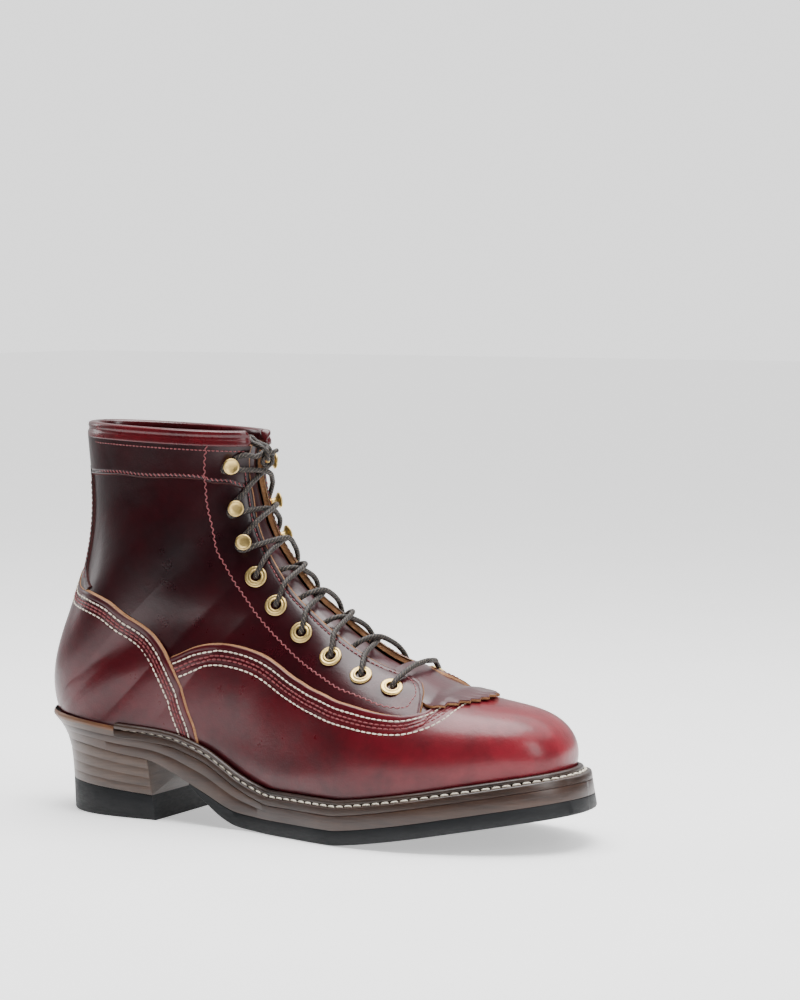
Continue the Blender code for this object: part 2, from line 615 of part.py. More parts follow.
def midsole(collection, look):
    def top(x):
        return sole_top(x) - WELT_THICKNESS - CURVED_GAP

    levels = [(STATIONS, lambda s: heel_inset(s, top), top),
              (STATIONS, lambda s: heel_inset(s, leather_bottom), leather_bottom)]
    return slab("midsole", levels, collection, look)


def rubber_sole(collection, look):
    def top(x):
        return leather_bottom(x) - CLEARANCE

    def side(x):
        return np.minimum(rubber_bottom(x) + 0.0012, (top(x) + rubber_bottom(x)) / 2)

    start = foot_share(RUBBER_START)
    stations = np.append(start, STATIONS[STATIONS > start + STATION_GAP])
    levels = [(stations, lambda s: 0.0 * s, top),
              (stations, lambda s: 0.0 * s, side),
              (stations, lambda s: 0.0 * s + 0.0014, rubber_bottom)]
    return slab("rubber_sole", levels, collection, look)


def lift_top(x):
    """Top of the rubber heel lift, a little lower toward the breast."""
    return LIFT_THICKNESS * (1 - LIFT_SLOPE * sole_share(x) / HEEL_BREAST)


def heel_stations(height_of):
    """Stations from the heel's back to its breast, which leans forward to the floor."""
    breast = HEEL_BREAST + BREAST_LEAN * (1 - height_of(HEEL_BACK + HEEL_BREAST * SOLE_LENGTH) / HEEL_RISE)
    inside = STATIONS[STATIONS < foot_share(HEEL_BREAST) - STATION_GAP]
    return np.append(inside, foot_share(breast))


def heel_stack(collection, look):
    def top(x):
        return leather_bottom(x) - CURVED_GAP

    def waist(x):
        return lift_top(x) + (leather_bottom(x) - lift_top(x)) * 0.5

    def bottom(x):
        return lift_top(x) + CLEARANCE

    levels = [(heel_stations(level), lambda s, z=level: heel_inset(s, z), level)
              for level in (top, waist, bottom)]
    return slab("heel_stack", levels, collection, look)


def heel_lift(collection, look):
    def foot(x):
        return 0.0 * x + 0.0010

    def floor(x):
        return 0.0 * x

    levels = [(heel_stations(level), lambda s, z=level, e=extra: heel_inset(s, z) + e, level)
              for level, extra in ((lift_top, 0.0), (foot, 0.0), (floor, 0.0008))]
    return slab("heel_lift", levels, collection, look)


def insole(collection, look):
    def top(x):
        return sole_top(x) + INSOLE_PROUD

    def bottom(x):
        return sole_top(x) - WELT_THICKNESS + CLEARANCE

    inside = UPPER_WALL + 2 * CURVED_GAP
    levels = [(ROW_STATIONS, lambda s: feather_inset(s) + inside, level) for level in (top, bottom)]
    return slab("insole", levels, collection, look)


def strip(name, path, section, collection, look):
    """A strip carried round the sole's edge: section gives insets and heights at a share."""
    rings = []
    for station, side in path:
        turn = under(station, side)
        share = (1 - np.cos(math.pi * turn)) / 2
        ring = []
        for inset, above in section(share):
            x, y, z = edge_point(turn, side, inset, lambda x, up=above: sole_top(x) + up)
            ring.append((float(x), float(y), float(z)))
        rings.append(ring)
    return sweep(name, np.array(rings), collection, look)


def welt(collection, look):
    def section(share):
        foot = float(feather_inset(share))
        lip = foot - OVERLAY - OVERLAY_GAP - CURVED_GAP - float(curve(FEATHER, "ease", share))
        inside = foot + UPPER_WALL + CLEARANCE
        return ((0.0, -WELT_THICKNESS), (0.0, -WELT_EDGE), (WELT_EDGE, 0.0), (lip - LIP_WIDTH, 0.0),
                (lip - LIP_WIDTH - LIP_LEAN, LIP_HEIGHT - WELT_EDGE), (lip - LIP_WIDTH / 2, LIP_HEIGHT),
                (lip - LIP_LEAN, LIP_HEIGHT), (lip, 0.0), (inside, 0.0), (inside, -WELT_THICKNESS))

    start = foot_share(WELT_START)
    there = np.append(start, STATIONS[STATIONS > start + STATION_GAP])
    path = [(s, -1) for s in there] + [(s, 1) for s in there[::-1][1:]]
    return strip("welt", path, section, collection, look)


def rand(collection, look):
    def section(share):
        foot = float(feather_inset(share))
        lip = foot - OVERLAY - OVERLAY_GAP - CURVED_GAP - float(curve(FEATHER, "ease", share))
        inside = foot + UPPER_WALL + CLEARANCE
        low = float(heel_inset(np.array([share]), lambda x: sole_top(x) - WELT_THICKNESS)[0])
        return ((low, -WELT_THICKNESS), (low * 0.3, -WELT_THICKNESS * 0.45), (0.0, 0.0),
                (0.0004, RAND_HEIGHT * 0.5), (lip - 0.0016, RAND_HEIGHT * 0.95),
                (lip - LIP_LEAN, RAND_HEIGHT), (lip, 0.0), (inside, 0.0), (inside, -WELT_THICKNESS))

    end = foot_share(WELT_START) - 2 * CLEARANCE / SOLE_LENGTH
    there = np.append(STATIONS[STATIONS < end - STATION_GAP], end)
    path = [(s, -1) for s in there[::-1]] + [(s, 1) for s in there[1:]]
    return strip("rand", path, section, collection, look)


def lathe(name, profile, row, distance, side, collection, look):
    """A turned fitting, its axis along the upper's normal where it sits."""
    mesh = bpy.data.meshes.new(name)
    made = bmesh.new()
    verts = [made.verts.new((radius, 0.0, height)) for radius, height in profile]
    for first, second in zip(verts, verts[1:]):
        made.edges.new((first, second))
    if profile[0][0] > 0 and profile[-1][0] > 0:
        made.edges.new((verts[-1], verts[0]))
    made.to_mesh(mesh)
    made.free()
    mesh.materials.append(look)
    item = bpy.data.objects.new(name, mesh)
    collection.objects.link(item)
    turn = item.modifiers.new("Turn", "SCREW")
    turn.steps = FITTING_SIDES
    turn.render_steps = FITTING_SIDES
    turn.use_merge_vertices = True
    turn.merge_threshold = 0.00001
    at, normal = seat(row, distance, side, max(radius for radius, _ in profile))
    item.location = Vector([float(c) for c in at])
    item.rotation_euler = Vector([float(c) for c in normal]).to_track_quat("Z", "Y").to_euler()
    return item


def seat(row, distance, side, radius):
    """A place for a flat fitting, clear of the upper all round its rim, and its outward normal."""
    across = float(from_ridge(row, distance, side)[0])
    at = skin(row, across)
    normal = skin(row, across, 0.001) - at
    normal /= np.linalg.norm(normal)
    height = 0.0
    for turn in np.linspace(0.0, 2 * math.pi, 9)[:-1]:
        rim_row = row + ROW_SHARE * radius * math.sin(turn)
        rim = over(rim_row, side * (distance + radius * math.cos(turn)), 0.0)
        height = max(height, float(normal.dot(rim - at)))
    return at + normal * (height + CURVED_GAP), normal


def eyelet(name, row, distance, side, collection, look):
    outer, bore = EYELET_DIAMETER / 2, EYELET_BORE / 2
    deep = -(UPPER_WALL + CURVED_GAP * 2)
    profile = ((bore, EYELET_PROUD * 0.6), ((outer + bore) / 2, EYELET_PROUD), (outer, 0.0),
               (bore + EYELET_BARREL, 0.0), (bore + EYELET_BARREL, deep), (bore, deep))
    return lathe(name, profile, row, distance, side, collection, look)


def hook(name, row, distance, side, collection, look):
    head, stem, reach = HOOK_HEAD / 2, HOOK_STEM / 2, HOOK_REACH
    profile = ((0.0, reach), (head * 0.7, reach - 0.0004), (head, reach - 0.0018), (stem, reach * 0.42),
               (stem * 1.1, 0.0010), (head * 0.78, 0.0), (0.0, 0.0))
    return lathe(name, profile, row, distance, side, collection, look)


def over(row, distance, height):
    """A point over the upper: distance from the ridge is negative on the outer side."""
    side = -1 if distance < 0 else 1
    return skin(row, float(from_ridge(row, abs(distance), side)[0]), height)


def smooth_line(points, count):
    """Points along a smooth curve through the given ones."""
    points = np.array(points)
    path = np.concatenate([[2 * points[0] - points[1]], points, [2 * points[-1] - points[-2]]])
    line = []
    for share in np.linspace(0.0, len(points) - 1.0, count):
        k = min(int(share), len(points) - 2)
        t = share - k
        a, b, c, d = path[k:k + 4]
        line.append(0.5 * (2 * b + (c - a) * t + (2 * a - 5 * b + 4 * c - d) * t ** 2
                           + (3 * b - a - 3 * c + d) * t ** 3))
    return line


def tube(name, line, collection, look):
    """A round lace along a line of points."""
    shape = bpy.data.curves.new(name, "CURVE")
    shape.dimensions = "3D"
    shape.bevel_depth = LACE_DIAMETER / 2
    shape.bevel_resolution = 2
    shape.use_fill_caps = True
    spline = shape.splines.new("POLY")
    spline.points.add(len(line) - 1)
    for point, at in zip(spline.points, line):
        point.co = (*[float(c) for c in at], 1.0)
    shape.materials.append(look)
    item = bpy.data.objects.new(name, shape)
    collection.objects.link(item)
    return item


def to_mesh(item, collection):
    """Turn a tube into a mesh with its caps welded."""
    name = item.name
    bpy.context.view_layer.update()
    mesh = bpy.data.meshes.new_from_object(item.evaluated_get(bpy.context.evaluated_depsgraph_get()))
    made = bmesh.new()
    made.from_mesh(mesh)
    bmesh.ops.remove_doubles(made, verts=made.verts, dist=0.00001)
    made.to_mesh(mesh)
    made.free()
    solid = bpy.data.objects.new(name + "_mesh", mesh)
    solid.matrix_world = item.matrix_world
    collection.objects.link(solid)
    bpy.data.objects.remove(item)
    solid.name = name
    return solid


def fastener(index, side):
    """Row and distance of a fastening counted from the toe, eyelets first."""
    table, place = (EYELETS, index) if index < len(EYELETS["row"]) else (HOOKS, index - len(EYELETS["row"]))
    return table["row"][place], table[SIDE_NAME[side]][place], table is HOOKS


def strand(index, side, lift):
    """Lace from one fastening over the throat toward the next one up on the other side."""
    row, out, hooked = fastener(index, side)
    next_row, next_out, next_hooked = fastener(index + 1, -side)
    step = next_row - row
    clear = HOOK_HEAD / 2 if hooked else EYELET_DIAMETER / 2
    rest = LACE_DIAMETER / 2 + CLEARANCE
    start = (row + 0.15 * step, side * (out - clear - rest), rest - LACE_PRESS)
    edge = float(curve(THROAT, SIDE_NAME[side], row + 0.25 * step, "row"))
    near = (row + 0.24 * step, side * (edge + 0.0010), rest + 0.0016 + lift * 0.5)
    middle = (row + 0.50 * step, 0.0, rest + 0.0014 + lift)
    far_edge = float(curve(THROAT, SIDE_NAME[-side], row + 0.78 * step, "row"))
    if next_hooked:
        far = (row + 0.76 * step, -side * (far_edge + 0.0010), rest + 0.0016 + lift * 0.5)
        end = (row + 0.90 * step, -side * (next_out - HOOK_HEAD / 2 - rest), rest)
    else:
        far = (row + 0.70 * step, -side * far_edge * 0.45, rest + 0.0008 + lift * 0.6)
        end = (row + 0.82 * step, -side * (far_edge - 0.0022), 0.0)
    return [over(*point) for point in (start, near, middle, far, end)]


def lace_cross(index, collection, look):
    name = "lace_cross_%d" % (index + 1)
    under = to_mesh(tube(name, smooth_line(strand(index, -1, 0.0), 7), collection, look), collection)
    lift = LACE_DIAMETER * LACE_SINK
    upper_strand = tube(name + "_over", smooth_line(strand(index, 1, lift), 7), collection, look)
    other = to_mesh(upper_strand, collection)
    join = under.modifiers.new("Join", "BOOLEAN")
    join.operation = "UNION"
    join.solver = "EXACT"
    join.object = other
    bpy.context.view_layer.update()
    joined = bpy.data.meshes.new_from_object(under.evaluated_get(bpy.context.evaluated_depsgraph_get()))
    under.modifiers.clear()
    under.data = joined
    bpy.data.objects.remove(other)
    return under


def lace_bar(collection, look):
    """The lowest run of lace, straight across from eyelet to eyelet, over the false tongue."""
    rest = LACE_DIAMETER / 2 + CLEARANCE
    over_kiltie = CURVED_GAP * 3 + OVERLAY + KILTIE_THICKNESS + rest
    ends = []
    for side in (-1, 1):
        row, out, _ = fastener(0, side)
        ends.append((row - 0.10, side * (out - EYELET_DIAMETER / 2 - rest), rest + 0.0006))
    edge = float(curve(KILTIE_SIDE, "half", ends[0][0], "row"))
    row = ends[0][0]
    points = [ends[0], (row, -edge, over_kiltie), (row, 0.0, over_kiltie), (row, edge, over_kiltie), ends[1]]
    return tube("lace_bar", smooth_line([over(*p) for p in points], 11), collection, look)


KNOT = {"row": 22.2, "distance": -0.0020, "height": 0.0062, "wide": 0.0100, "tall": 0.0120, "deep": 0.0076}


def lace_knot(collection, look):
    at = over(KNOT["row"], KNOT["distance"], KNOT["height"])
    bpy.ops.mesh.primitive_uv_sphere_add(segments=12, ring_count=8, radius=0.5, location=[float(c) for c in at])
    item = bpy.context.object
    item.name = "lace_knot"
    item.scale = (KNOT["deep"], KNOT["wide"], KNOT["tall"])
    item.data.materials.append(look)
    for group in list(item.users_collection):
        group.objects.unlink(item)
    collection.objects.link(item)
    return item


def lace_end(side, collection, look):
    """The last run of lace, from the top hook to the knot."""
    row, out, _ = fastener(len(EYELETS["row"]) + len(HOOKS["row"]) - 1, side)
    rest = LACE_DIAMETER / 2 + CLEARANCE
    start = (row + 0.41, side * (out - HOOK_HEAD / 2 - rest), rest + 0.0012)
    stop = KNOT["distance"] + side * (KNOT["wide"] / 2 + CLEARANCE * 2)
    middle = (row + 0.60, (start[1] + stop) / 2, rest + 0.0030)
    end = (KNOT["row"] + 0.1, stop, KNOT["height"] - 0.0012)
    line = smooth_line([over(*p) for p in (start, middle, end)], 4)
    return tube("lace_end_%s" % SIDE_NAME[side], line, collection, look)


def cut_eyelet_holes(item, cutters):
    """Holes through the upper for the eyelets' barrels."""
    bores = []
    for side in (-1, 1):
        for row, distance in zip(EYELETS["row"], EYELETS[SIDE_NAME[side]]):
            at, normal = seat(row, distance, side, EYELET_DIAMETER / 2)
            bpy.ops.mesh.primitive_cylinder_add(vertices=FITTING_SIDES, depth=UPPER_WALL * 5,
                                                radius=EYELET_BORE / 2 + EYELET_BARREL + CLEARANCE)
            bore = bpy.context.object
            bore.location = [float(c) for c in at]
            bore.rotation_euler = Vector([float(c) for c in normal]).to_track_quat("Z", "Y").to_euler()
            bores.append(bore)
    bpy.ops.object.select_all(action="DESELECT")
    for bore in bores:
        bore.select_set(True)
    bpy.context.view_layer.objects.active = bores[0]
    bpy.ops.object.join()
    cutter = bpy.context.object
    cutter.name = "eyelet_holes"
    cutter.hide_render = True
    cutter.display_type = "WIRE"
    for group in list(cutter.users_collection):
        group.objects.unlink(cutter)
    cutters.objects.link(cutter)
    cut = item.modifiers.new("Eyelet holes", "BOOLEAN")
    cut.operation = "DIFFERENCE"
    cut.solver = "EXACT"
    cut.object = cutter


def main():
    for item in list(bpy.data.objects):
        bpy.data.objects.remove(item)
    parts = bpy.data.collections.new("logger_boot")
    cutters = bpy.data.collections.new("cutters")
    for group in (parts, cutters):
        bpy.context.scene.collection.children.link(group)
    leather = material("oxblood leather", (0.120, 0.012, 0.016), 0.35)
    binding = material("oxblood binding", (0.180, 0.020, 0.028), 0.40)
    sole_leather = material("brown sole leather", (0.060, 0.030, 0.018), 0.50)
    rubber = material("black rubber", (0.018, 0.019, 0.022), 0.70)
    lining = material("undyed lining leather", (0.480, 0.300, 0.180), 0.75)
    brass = material("brass", (0.700, 0.480, 0.180), 0.28, 1.0)
    cord = material("waxed dark cord", (0.035, 0.022, 0.016), 0.60)

    body = upper(parts, leather)
    cut_eyelet_holes(body, cutters)
    for piece in (vamp, counter, backstay, tongue, kiltie):
        piece(parts, leather)
    collar_roll(parts, binding)
    insole(parts, lining)
    for piece in (midsole, welt, rand, heel_stack):
        piece(parts, sole_leather)
    for piece in (rubber_sole, heel_lift):
        piece(parts, rubber)
    for side in (-1, 1):
        for count, (row, distance) in enumerate(zip(EYELETS["row"], EYELETS[SIDE_NAME[side]])):
            eyelet("eyelet_%s_%d" % (SIDE_NAME[side], count + 1), row, distance, side, parts, brass)
        for count, (row, distance) in enumerate(zip(HOOKS["row"], HOOKS[SIDE_NAME[side]])):
            hook("hook_%s_%d" % (SIDE_NAME[side], count + 1), row, distance, side, parts, brass)
    for index in range(len(EYELETS["row"]) + len(HOOKS["row"]) - 1):
        lace_cross(index, parts, cord)
    lace_bar(parts, cord)
    lace_knot(parts, cord)
    for side in (-1, 1):
        lace_end(side, parts, cord)
    for item in parts.objects:
        if item.type == "MESH":
            item.data.shade_smooth()
            item.data.set_sharp_from_angle(angle=math.radians(35))


main()
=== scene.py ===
# Logger boot, the wearer's right one, dressed over its solids for the picture
import math
import bmesh
import bpy
import numpy as np
from mathutils import Matrix


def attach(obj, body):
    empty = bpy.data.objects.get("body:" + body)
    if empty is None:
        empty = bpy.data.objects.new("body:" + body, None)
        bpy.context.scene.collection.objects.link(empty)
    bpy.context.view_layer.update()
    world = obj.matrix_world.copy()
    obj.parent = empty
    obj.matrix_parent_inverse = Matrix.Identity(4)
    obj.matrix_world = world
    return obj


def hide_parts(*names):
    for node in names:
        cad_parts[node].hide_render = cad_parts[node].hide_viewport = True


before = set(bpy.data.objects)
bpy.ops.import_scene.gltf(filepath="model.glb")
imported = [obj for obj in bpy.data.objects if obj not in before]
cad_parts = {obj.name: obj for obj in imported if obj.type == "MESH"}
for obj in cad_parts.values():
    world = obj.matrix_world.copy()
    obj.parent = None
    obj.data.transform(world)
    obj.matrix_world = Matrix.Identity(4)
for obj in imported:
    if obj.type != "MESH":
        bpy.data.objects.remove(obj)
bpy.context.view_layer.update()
print("boot: frame loaded")

# the boot's own sizes, in metres, as the solids have them
boot = {"length": 0.3040, "ball": 0.1100, "heelRise": 0.0306, "toeSpring": 0.0185,
        "rubber": 0.0075, "midsole": 0.0072, "welt": 0.0040, "shaft": 0.1532, "instep": 0.0950,
        "wall": 0.0026, "overlay": 0.0016, "overlayGap": 0.0007, "gap": 0.0003, "curvedGap": 0.0005,
        "rollHeight": 0.0062, "rollWidth": 0.0056, "lace": 0.0028, "collarFront": 0.970}
heelBack = -boot["length"] / 2
collarHeight = boot["shaft"] - boot["rollHeight"] - 2 * boot["gap"]
seatHeight = boot["rubber"] + boot["midsole"] + boot["welt"]

outline = {
    "share": (0.00, 0.05, 0.12, 0.20, 0.30, 0.42, 0.52, 0.62, 0.70, 0.78, 0.86, 0.93, 1.00),
    "lateral": (0.660, 0.580, 0.505, 0.425, 0.355, 0.352, 0.420, 0.508, 0.553, 0.585, 0.600, 0.615, 0.660),
    "medial": (0.660, 0.580, 0.500, 0.412, 0.330, 0.303, 0.345, 0.432, 0.530, 0.602, 0.655, 0.700, 0.740)}
featherLine = {
    "share": (0.00, 0.04, 0.15, 0.24, 0.45, 0.65, 0.85, 1.00),
    "inset": (0.0060, 0.0060, 0.0058, 0.0064, 0.0085, 0.0100, 0.0106, 0.0108),
    "ease": (0.0009, 0.0009, 0.0001, 0.0002, 0.0007, 0.0006, 0.0007, 0.0012)}
soleSide = {
    "share": (0.00, 0.10, 0.19, 0.24, 0.29, 0.32, 0.355, 0.388, 0.42, 0.45, 0.49,
              0.55, 0.62, 0.66, 0.70, 0.75, 0.84, 0.93, 1.00),
    "rise": (1.000, 0.958, 0.876, 0.843, 0.776, 0.696, 0.575, 0.395, 0.206, 0.085, 0, 0, 0, 0, 0, 0, 0, 0, 0),
    "thicker": (0.00, 0.05, 0.20, 0.32, 0.75, 0.98, 1.10, 1.00, 0.68, 0.30, 0, 0, 0, 0, 0, 0, 0, 0, 0),
    "spring": (0, 0, 0, 0, 0, 0, 0, 0, 0, 0, 0, 0, 0, 0.07, 0.17, 0.31, 0.58, 0.83, 1.00),
    "rubber": (0.12, 0.12, 0.12, 0.12, 0.12, 0.12, 0.62, 0.92, 1, 1, 1, 1, 1, 1, 1, 1, 1, 1, 1)}
rings = {
    "row": tuple(range(24)),
    "base": (1.000, 0.9975, 0.988, 0.971, 0.941, 0.900, 0.848, 0.785, 0.712, 0.633, 0.546, 0.449,
             0.345, 0.234, 0.130, 0.054, 0.012, 0.000, -0.0140, -0.0055, 0.0190, 0.0450, 0.0665, 0.0530),
    "front": (1.000, 1.003, 1.0045, 0.995, 0.972, 0.931, 0.875, 0.816, 0.754, 0.695, 0.636, 0.581,
              0.529, 0.487, 0.452, 0.428, 0.416, 0.409, 0.404, 0.399, 0.397, 0.397, 0.400, 0.406),
    "instep": (0.000, 0.053, 0.121, 0.187, 0.264, 0.334, 0.387, 0.452, 0.560, 0.677, 0.779, 0.884,
               1, 1, 1, 1, 1, 1, 1, 1, 1, 1, 1, 1),
    "shaft": (0, 0, 0, 0, 0, 0, 0, 0, 0, 0, 0, 0,
              0.000, 0.142, 0.296, 0.438, 0.543, 0.630, 0.710, 0.784, 0.852, 0.907, 0.957, 1.000),
    "back": (0, 0, 0, 0, 0, 0, 0, 0, 0, 0, 0, 0,
             0, 0, 0, 0, 0, 0, 0.090, 0.200, 0.335, 0.495, 0.720, 1.000),
    "lean": (0.00, 0.00, 0.00, 0.00, 0.10, 0.20, 0.30, 0.30, 0.30, 0.30, 0.30, 0.30,
             0.30, 0.32, 0.34, 0.36, 0.38, 0.40, 0.44, 0.46, 0.48, 0.50, 0.50, 0.50),
    "widest": (0.10, 0.12, 0.16, 0.20, 0.24, 0.26, 0.27, 0.27, 0.27, 0.27, 0.27, 0.27,
               0.27, 0.28, 0.30, 0.31, 0.32, 0.34, 0.40, 0.44, 0.46, 0.48, 0.50, 0.50),
    "crown": (2.0, 2.0, 2.1, 2.2, 2.3, 2.3, 2.25, 2.2, 2.2, 2.25, 2.3, 2.35,
              2.35, 2.3, 2.25, 2.2, 2.2, 2.2, 2.15, 2.1, 2.1, 2.1, 2.1, 2.15),
    "side": (2.2, 2.2, 2.2, 2.3, 2.4, 2.4, 2.4, 2.4, 2.4, 2.4, 2.4, 2.4,
             2.4, 2.4, 2.3, 2.3, 2.3, 2.3, 2.2, 2.2, 2.2, 2.2, 2.2, 2.2),
    "out": (0.0000, 0.0006, 0.0012, 0.0016, 0.0018, 0.0018, 0.0018, 0.0018, 0.0018, 0.0018, 0.0018, 0.0018,
            0.0018, 0.0020, 0.0022, 0.0024, 0.0026, 0.0028, 0.0030, 0.0028, 0.0020, 0.0010, 0.000, 0.000),
    "girth": (1.00, 1.00, 1.00, 1.00, 1.00, 1.00, 1.00, 1.00, 1.00, 1.00, 1.00, 1.00,
              0.99, 0.98, 0.97, 0.96, 0.96, 0.96, 0.96, 0.95, 0.94, 0.92, 0.90, 0.92)}
heelRow = 17
lastRow = 23
instepRow = 12
toeLean = 1.25  # how much further than square the toe's edge leans out
sideName = {-1: "lateral", 1: "medial"}


def unit(vectors):
    # each vector divided by its own length
    vectors = np.asarray(vectors, float)
    return vectors / np.maximum(np.linalg.norm(vectors, axis=-1), 1e-12)[..., None]


def runOf(points):
    # the length run along a line of points, from nothing at the first
    return np.append(0.0, np.cumsum(np.linalg.norm(np.diff(points, axis=0), axis=1)))


def readAt(at, run, points):
    # a line of points read at lengths along it
    return np.stack([np.interp(at, run, column) for column in points.T], axis=1)


def ease(share):
    # from 0 to 1 with level ends: t * t * (3 - 2t)
    t = np.clip(share, 0, 1)
    return t * t * (3 - 2 * t)


def curve(table, column, at, key="share"):
    # smooth curve through a table's column: cubic pieces whose slopes never overshoot the rows
    x = np.asarray(table[key], float)
    y = np.asarray(table[column], float)
    at = np.clip(np.asarray(at, float), x[0], x[-1])
    step = np.diff(x)
    rise = np.diff(y) / step
    slope = np.empty_like(y)
    slope[0], slope[-1] = rise[0], rise[-1]
    same = rise[:-1] * rise[1:] > 0
    near = 2 * step[1:] + step[:-1]
    far = step[1:] + 2 * step[:-1]
    safe = np.where(same, rise[:-1] * rise[1:], 1.0)
    mean = (near + far) * safe / (near * rise[1:] + far * rise[:-1] + np.where(same, 0.0, 1.0))
    slope[1:-1] = np.where(same, mean, 0.0)
    k = np.clip(np.searchsorted(x, at, side="right") - 1, 0, len(x) - 2)
    t = (at - x[k]) / step[k]
    left = y[k] * (1 + 2 * t) * (1 - t) ** 2 + slope[k] * step[k] * t * (1 - t) ** 2
    return left + y[k + 1] * t ** 2 * (3 - 2 * t) + slope[k + 1] * step[k] * t ** 2 * (t - 1)


def soleShare(x):
    # share of the sole's length from the heel's back
    return (np.asarray(x, float) - heelBack) / boot["length"]


def soleTop(x):
    # height of the welt's flat: the forefoot's layers plus the heel's rise plus the toe's spring
    share = soleShare(x)
    return (seatHeight + curve(soleSide, "rise", share) * boot["heelRise"]
            + curve(soleSide, "spring", share) * boot["toeSpring"])


def leatherBottom(x):
    # the midsole hangs under the welt and thickens into the arch
    return soleTop(x) - boot["welt"] - boot["midsole"] * (1 + curve(soleSide, "thicker", soleShare(x)))


def rubberBottom(x):
    # the rubber is a share of its full thickness, and never below the floor
    low = leatherBottom(x) - boot["rubber"] * curve(soleSide, "rubber", soleShare(x))
    return np.maximum(low, 0.0)


def plan(turn, side, inset=0.0):
    # the sole's edge in plan: an ellipse whose half width is scaled by the outline table, moved in
    # along its own normal; turn runs from 0 at the heel's back to 1 at the toe's tip
    def edge(a):
        share = (1 - np.cos(math.pi * a)) / 2
        half = np.sin(math.pi * a) * curve(outline, sideName[side], share)
        return heelBack + share * boot["length"], side * half * boot["ball"]

    turn = np.asarray(turn, float)
    x, y = edge(turn)
    near, far = edge(turn - 1e-4), edge(turn + 1e-4)
    along = np.stack([far[0] - near[0], far[1] - near[1]])
    along = along / np.linalg.norm(along, axis=0)
    return x + side * along[1] * inset, y - side * along[0] * inset


def edgePoint(turn, side, inset, heightOf):
    # a point of the sole's edge on the surface heightOf; the toe's edge leans out to the floor
    x, y = plan(turn, side, inset)
    share = soleShare(x)
    slope = curve(soleSide, "spring", share + 0.01) - curve(soleSide, "spring", share - 0.01)
    slope = slope * boot["toeSpring"] / (0.02 * boot["length"])
    x = x - slope * toeLean * (heightOf(x) - rubberBottom(x))
    return np.stack([x, y, heightOf(x)], axis=-1)


def shareAt(turn):
    # share of the length at a turn: half of one less its cosine
    return (1 - np.cos(math.pi * np.asarray(turn, float))) / 2


fineTurn = np.linspace(0.0, 1.0, 401)
featherSides = {side: edgePoint(fineTurn, side, curve(featherLine, "inset", shareAt(fineTurn)), soleTop)
                for side in (-1, 1)}
footBack = float(featherSides[1][0, 0])
footLength = float(featherSides[1][-1, 0]) - footBack


def featherWidth(x, side):
    # half the width of the seat where the upper meets the sole, read at x
    edge = featherSides[side]
    return np.abs(np.interp(np.interp(x, edge[:, 0], fineTurn), fineTurn, edge[:, 1]))


# the upper's surface, on a fine grid: rows from the toe to the collar, across from the outer
# side's sole (-1) over the ridge (0) to the inner side's sole (1)
rowStep, halfColumns = 0.05, 120
gridRows = np.arange(0, lastRow + rowStep / 2, rowStep)


def soften(values, sigma, pins):
    # a Gaussian mean along the rows, with each end between pins mirrored through itself so it stays
    reach = int(3 * sigma / rowStep)
    weight = np.exp(-0.5 * (np.arange(-reach, reach + 1) * rowStep / sigma) ** 2)
    weight /= weight.sum()
    done = values.copy()
    cuts = [int(round(p / rowStep)) for p in pins]
    for a, b in zip(cuts, cuts[1:]):
        part = values[a:b + 1]
        pad = min(reach, len(part) - 1)
        head = 2 * part[0] - part[pad:0:-1]
        tail = 2 * part[-1] - part[-2:-pad - 2:-1]
        full = np.concatenate([np.full(reach - pad, head[0]), head, part, tail, np.full(reach - pad, tail[-1])])
        done[a:b + 1] = np.convolve(full, weight, mode="valid")
    return done


smooth = {}
for column in rings:
    if column != "row":
        pins = (0, heelRow, lastRow) if column in ("base", "back") else (0, lastRow)
        smooth[column] = soften(curve(rings, column, gridRows, "row"), 0.45, pins)


def halfRings(side):
    # each ring is a superellipse: from the feather line out to its widest point and over to the ridge
    baseX = footBack + smooth["base"] * footLength
    baseZ = soleTop(baseX) + boot["gap"] + smooth["back"] * collarHeight
    frontX = footBack + smooth["front"] * footLength
    instepX = footBack + rings["front"][instepRow] * footLength
    frontZ = soleTop(np.maximum(frontX, instepX)) + boot["gap"] + smooth["instep"] * boot["instep"]
    instepZ = soleTop(instepX) + boot["gap"] + boot["instep"]
    collarZ = soleTop(heelBack) + boot["gap"] + boot["collarFront"] * collarHeight
    frontZ = frontZ + smooth["shaft"] * (collarZ - instepZ)
    foot = np.where(gridRows <= heelRow, featherWidth(baseX, side), 0.0)
    read = baseX + smooth["lean"] * (frontX - baseX)
    wide = np.maximum(featherWidth(read, side) * smooth["girth"] + smooth["out"], foot * 1.002)
    high, crown, lower = smooth["widest"], smooth["crown"], smooth["side"]
    ratio = np.clip(foot / np.maximum(wide, 1e-9), 0.0, 0.998)
    drop = high / (1 - ratio ** lower) ** (1 / lower)
    last = np.arccos(ratio ** (lower / 2))
    turn = np.linspace(1.0, 0.0, 70)[None, :] * last[:, None]
    lowY = wide[:, None] * np.cos(turn) ** (2 / lower[:, None])
    lowH = high[:, None] - drop[:, None] * np.sin(turn) ** (2 / lower[:, None])
    turn = np.linspace(0.0, math.pi / 2, 110)[None, 1:]
    topY = wide[:, None] * np.cos(turn) ** (2 / crown[:, None])
    topH = high[:, None] + (1 - high[:, None]) * np.sin(turn) ** (2 / crown[:, None])
    y = np.concatenate([lowY, topY], axis=1)
    y[:, -1] = 0.0
    h = np.concatenate([lowH, topH], axis=1)
    x = baseX[:, None] + h * (frontX - baseX)[:, None]
    z = baseZ[:, None] + h * (frontZ - baseZ)[:, None]
    even = np.linspace(0.0, 1.0, halfColumns + 1)
    made = []
    for ring in np.stack([x, side * y, z], axis=-1):
        run = runOf(ring)
        made.append(readAt(even, run / max(run[-1], 1e-9), ring))
    return np.stack(made)


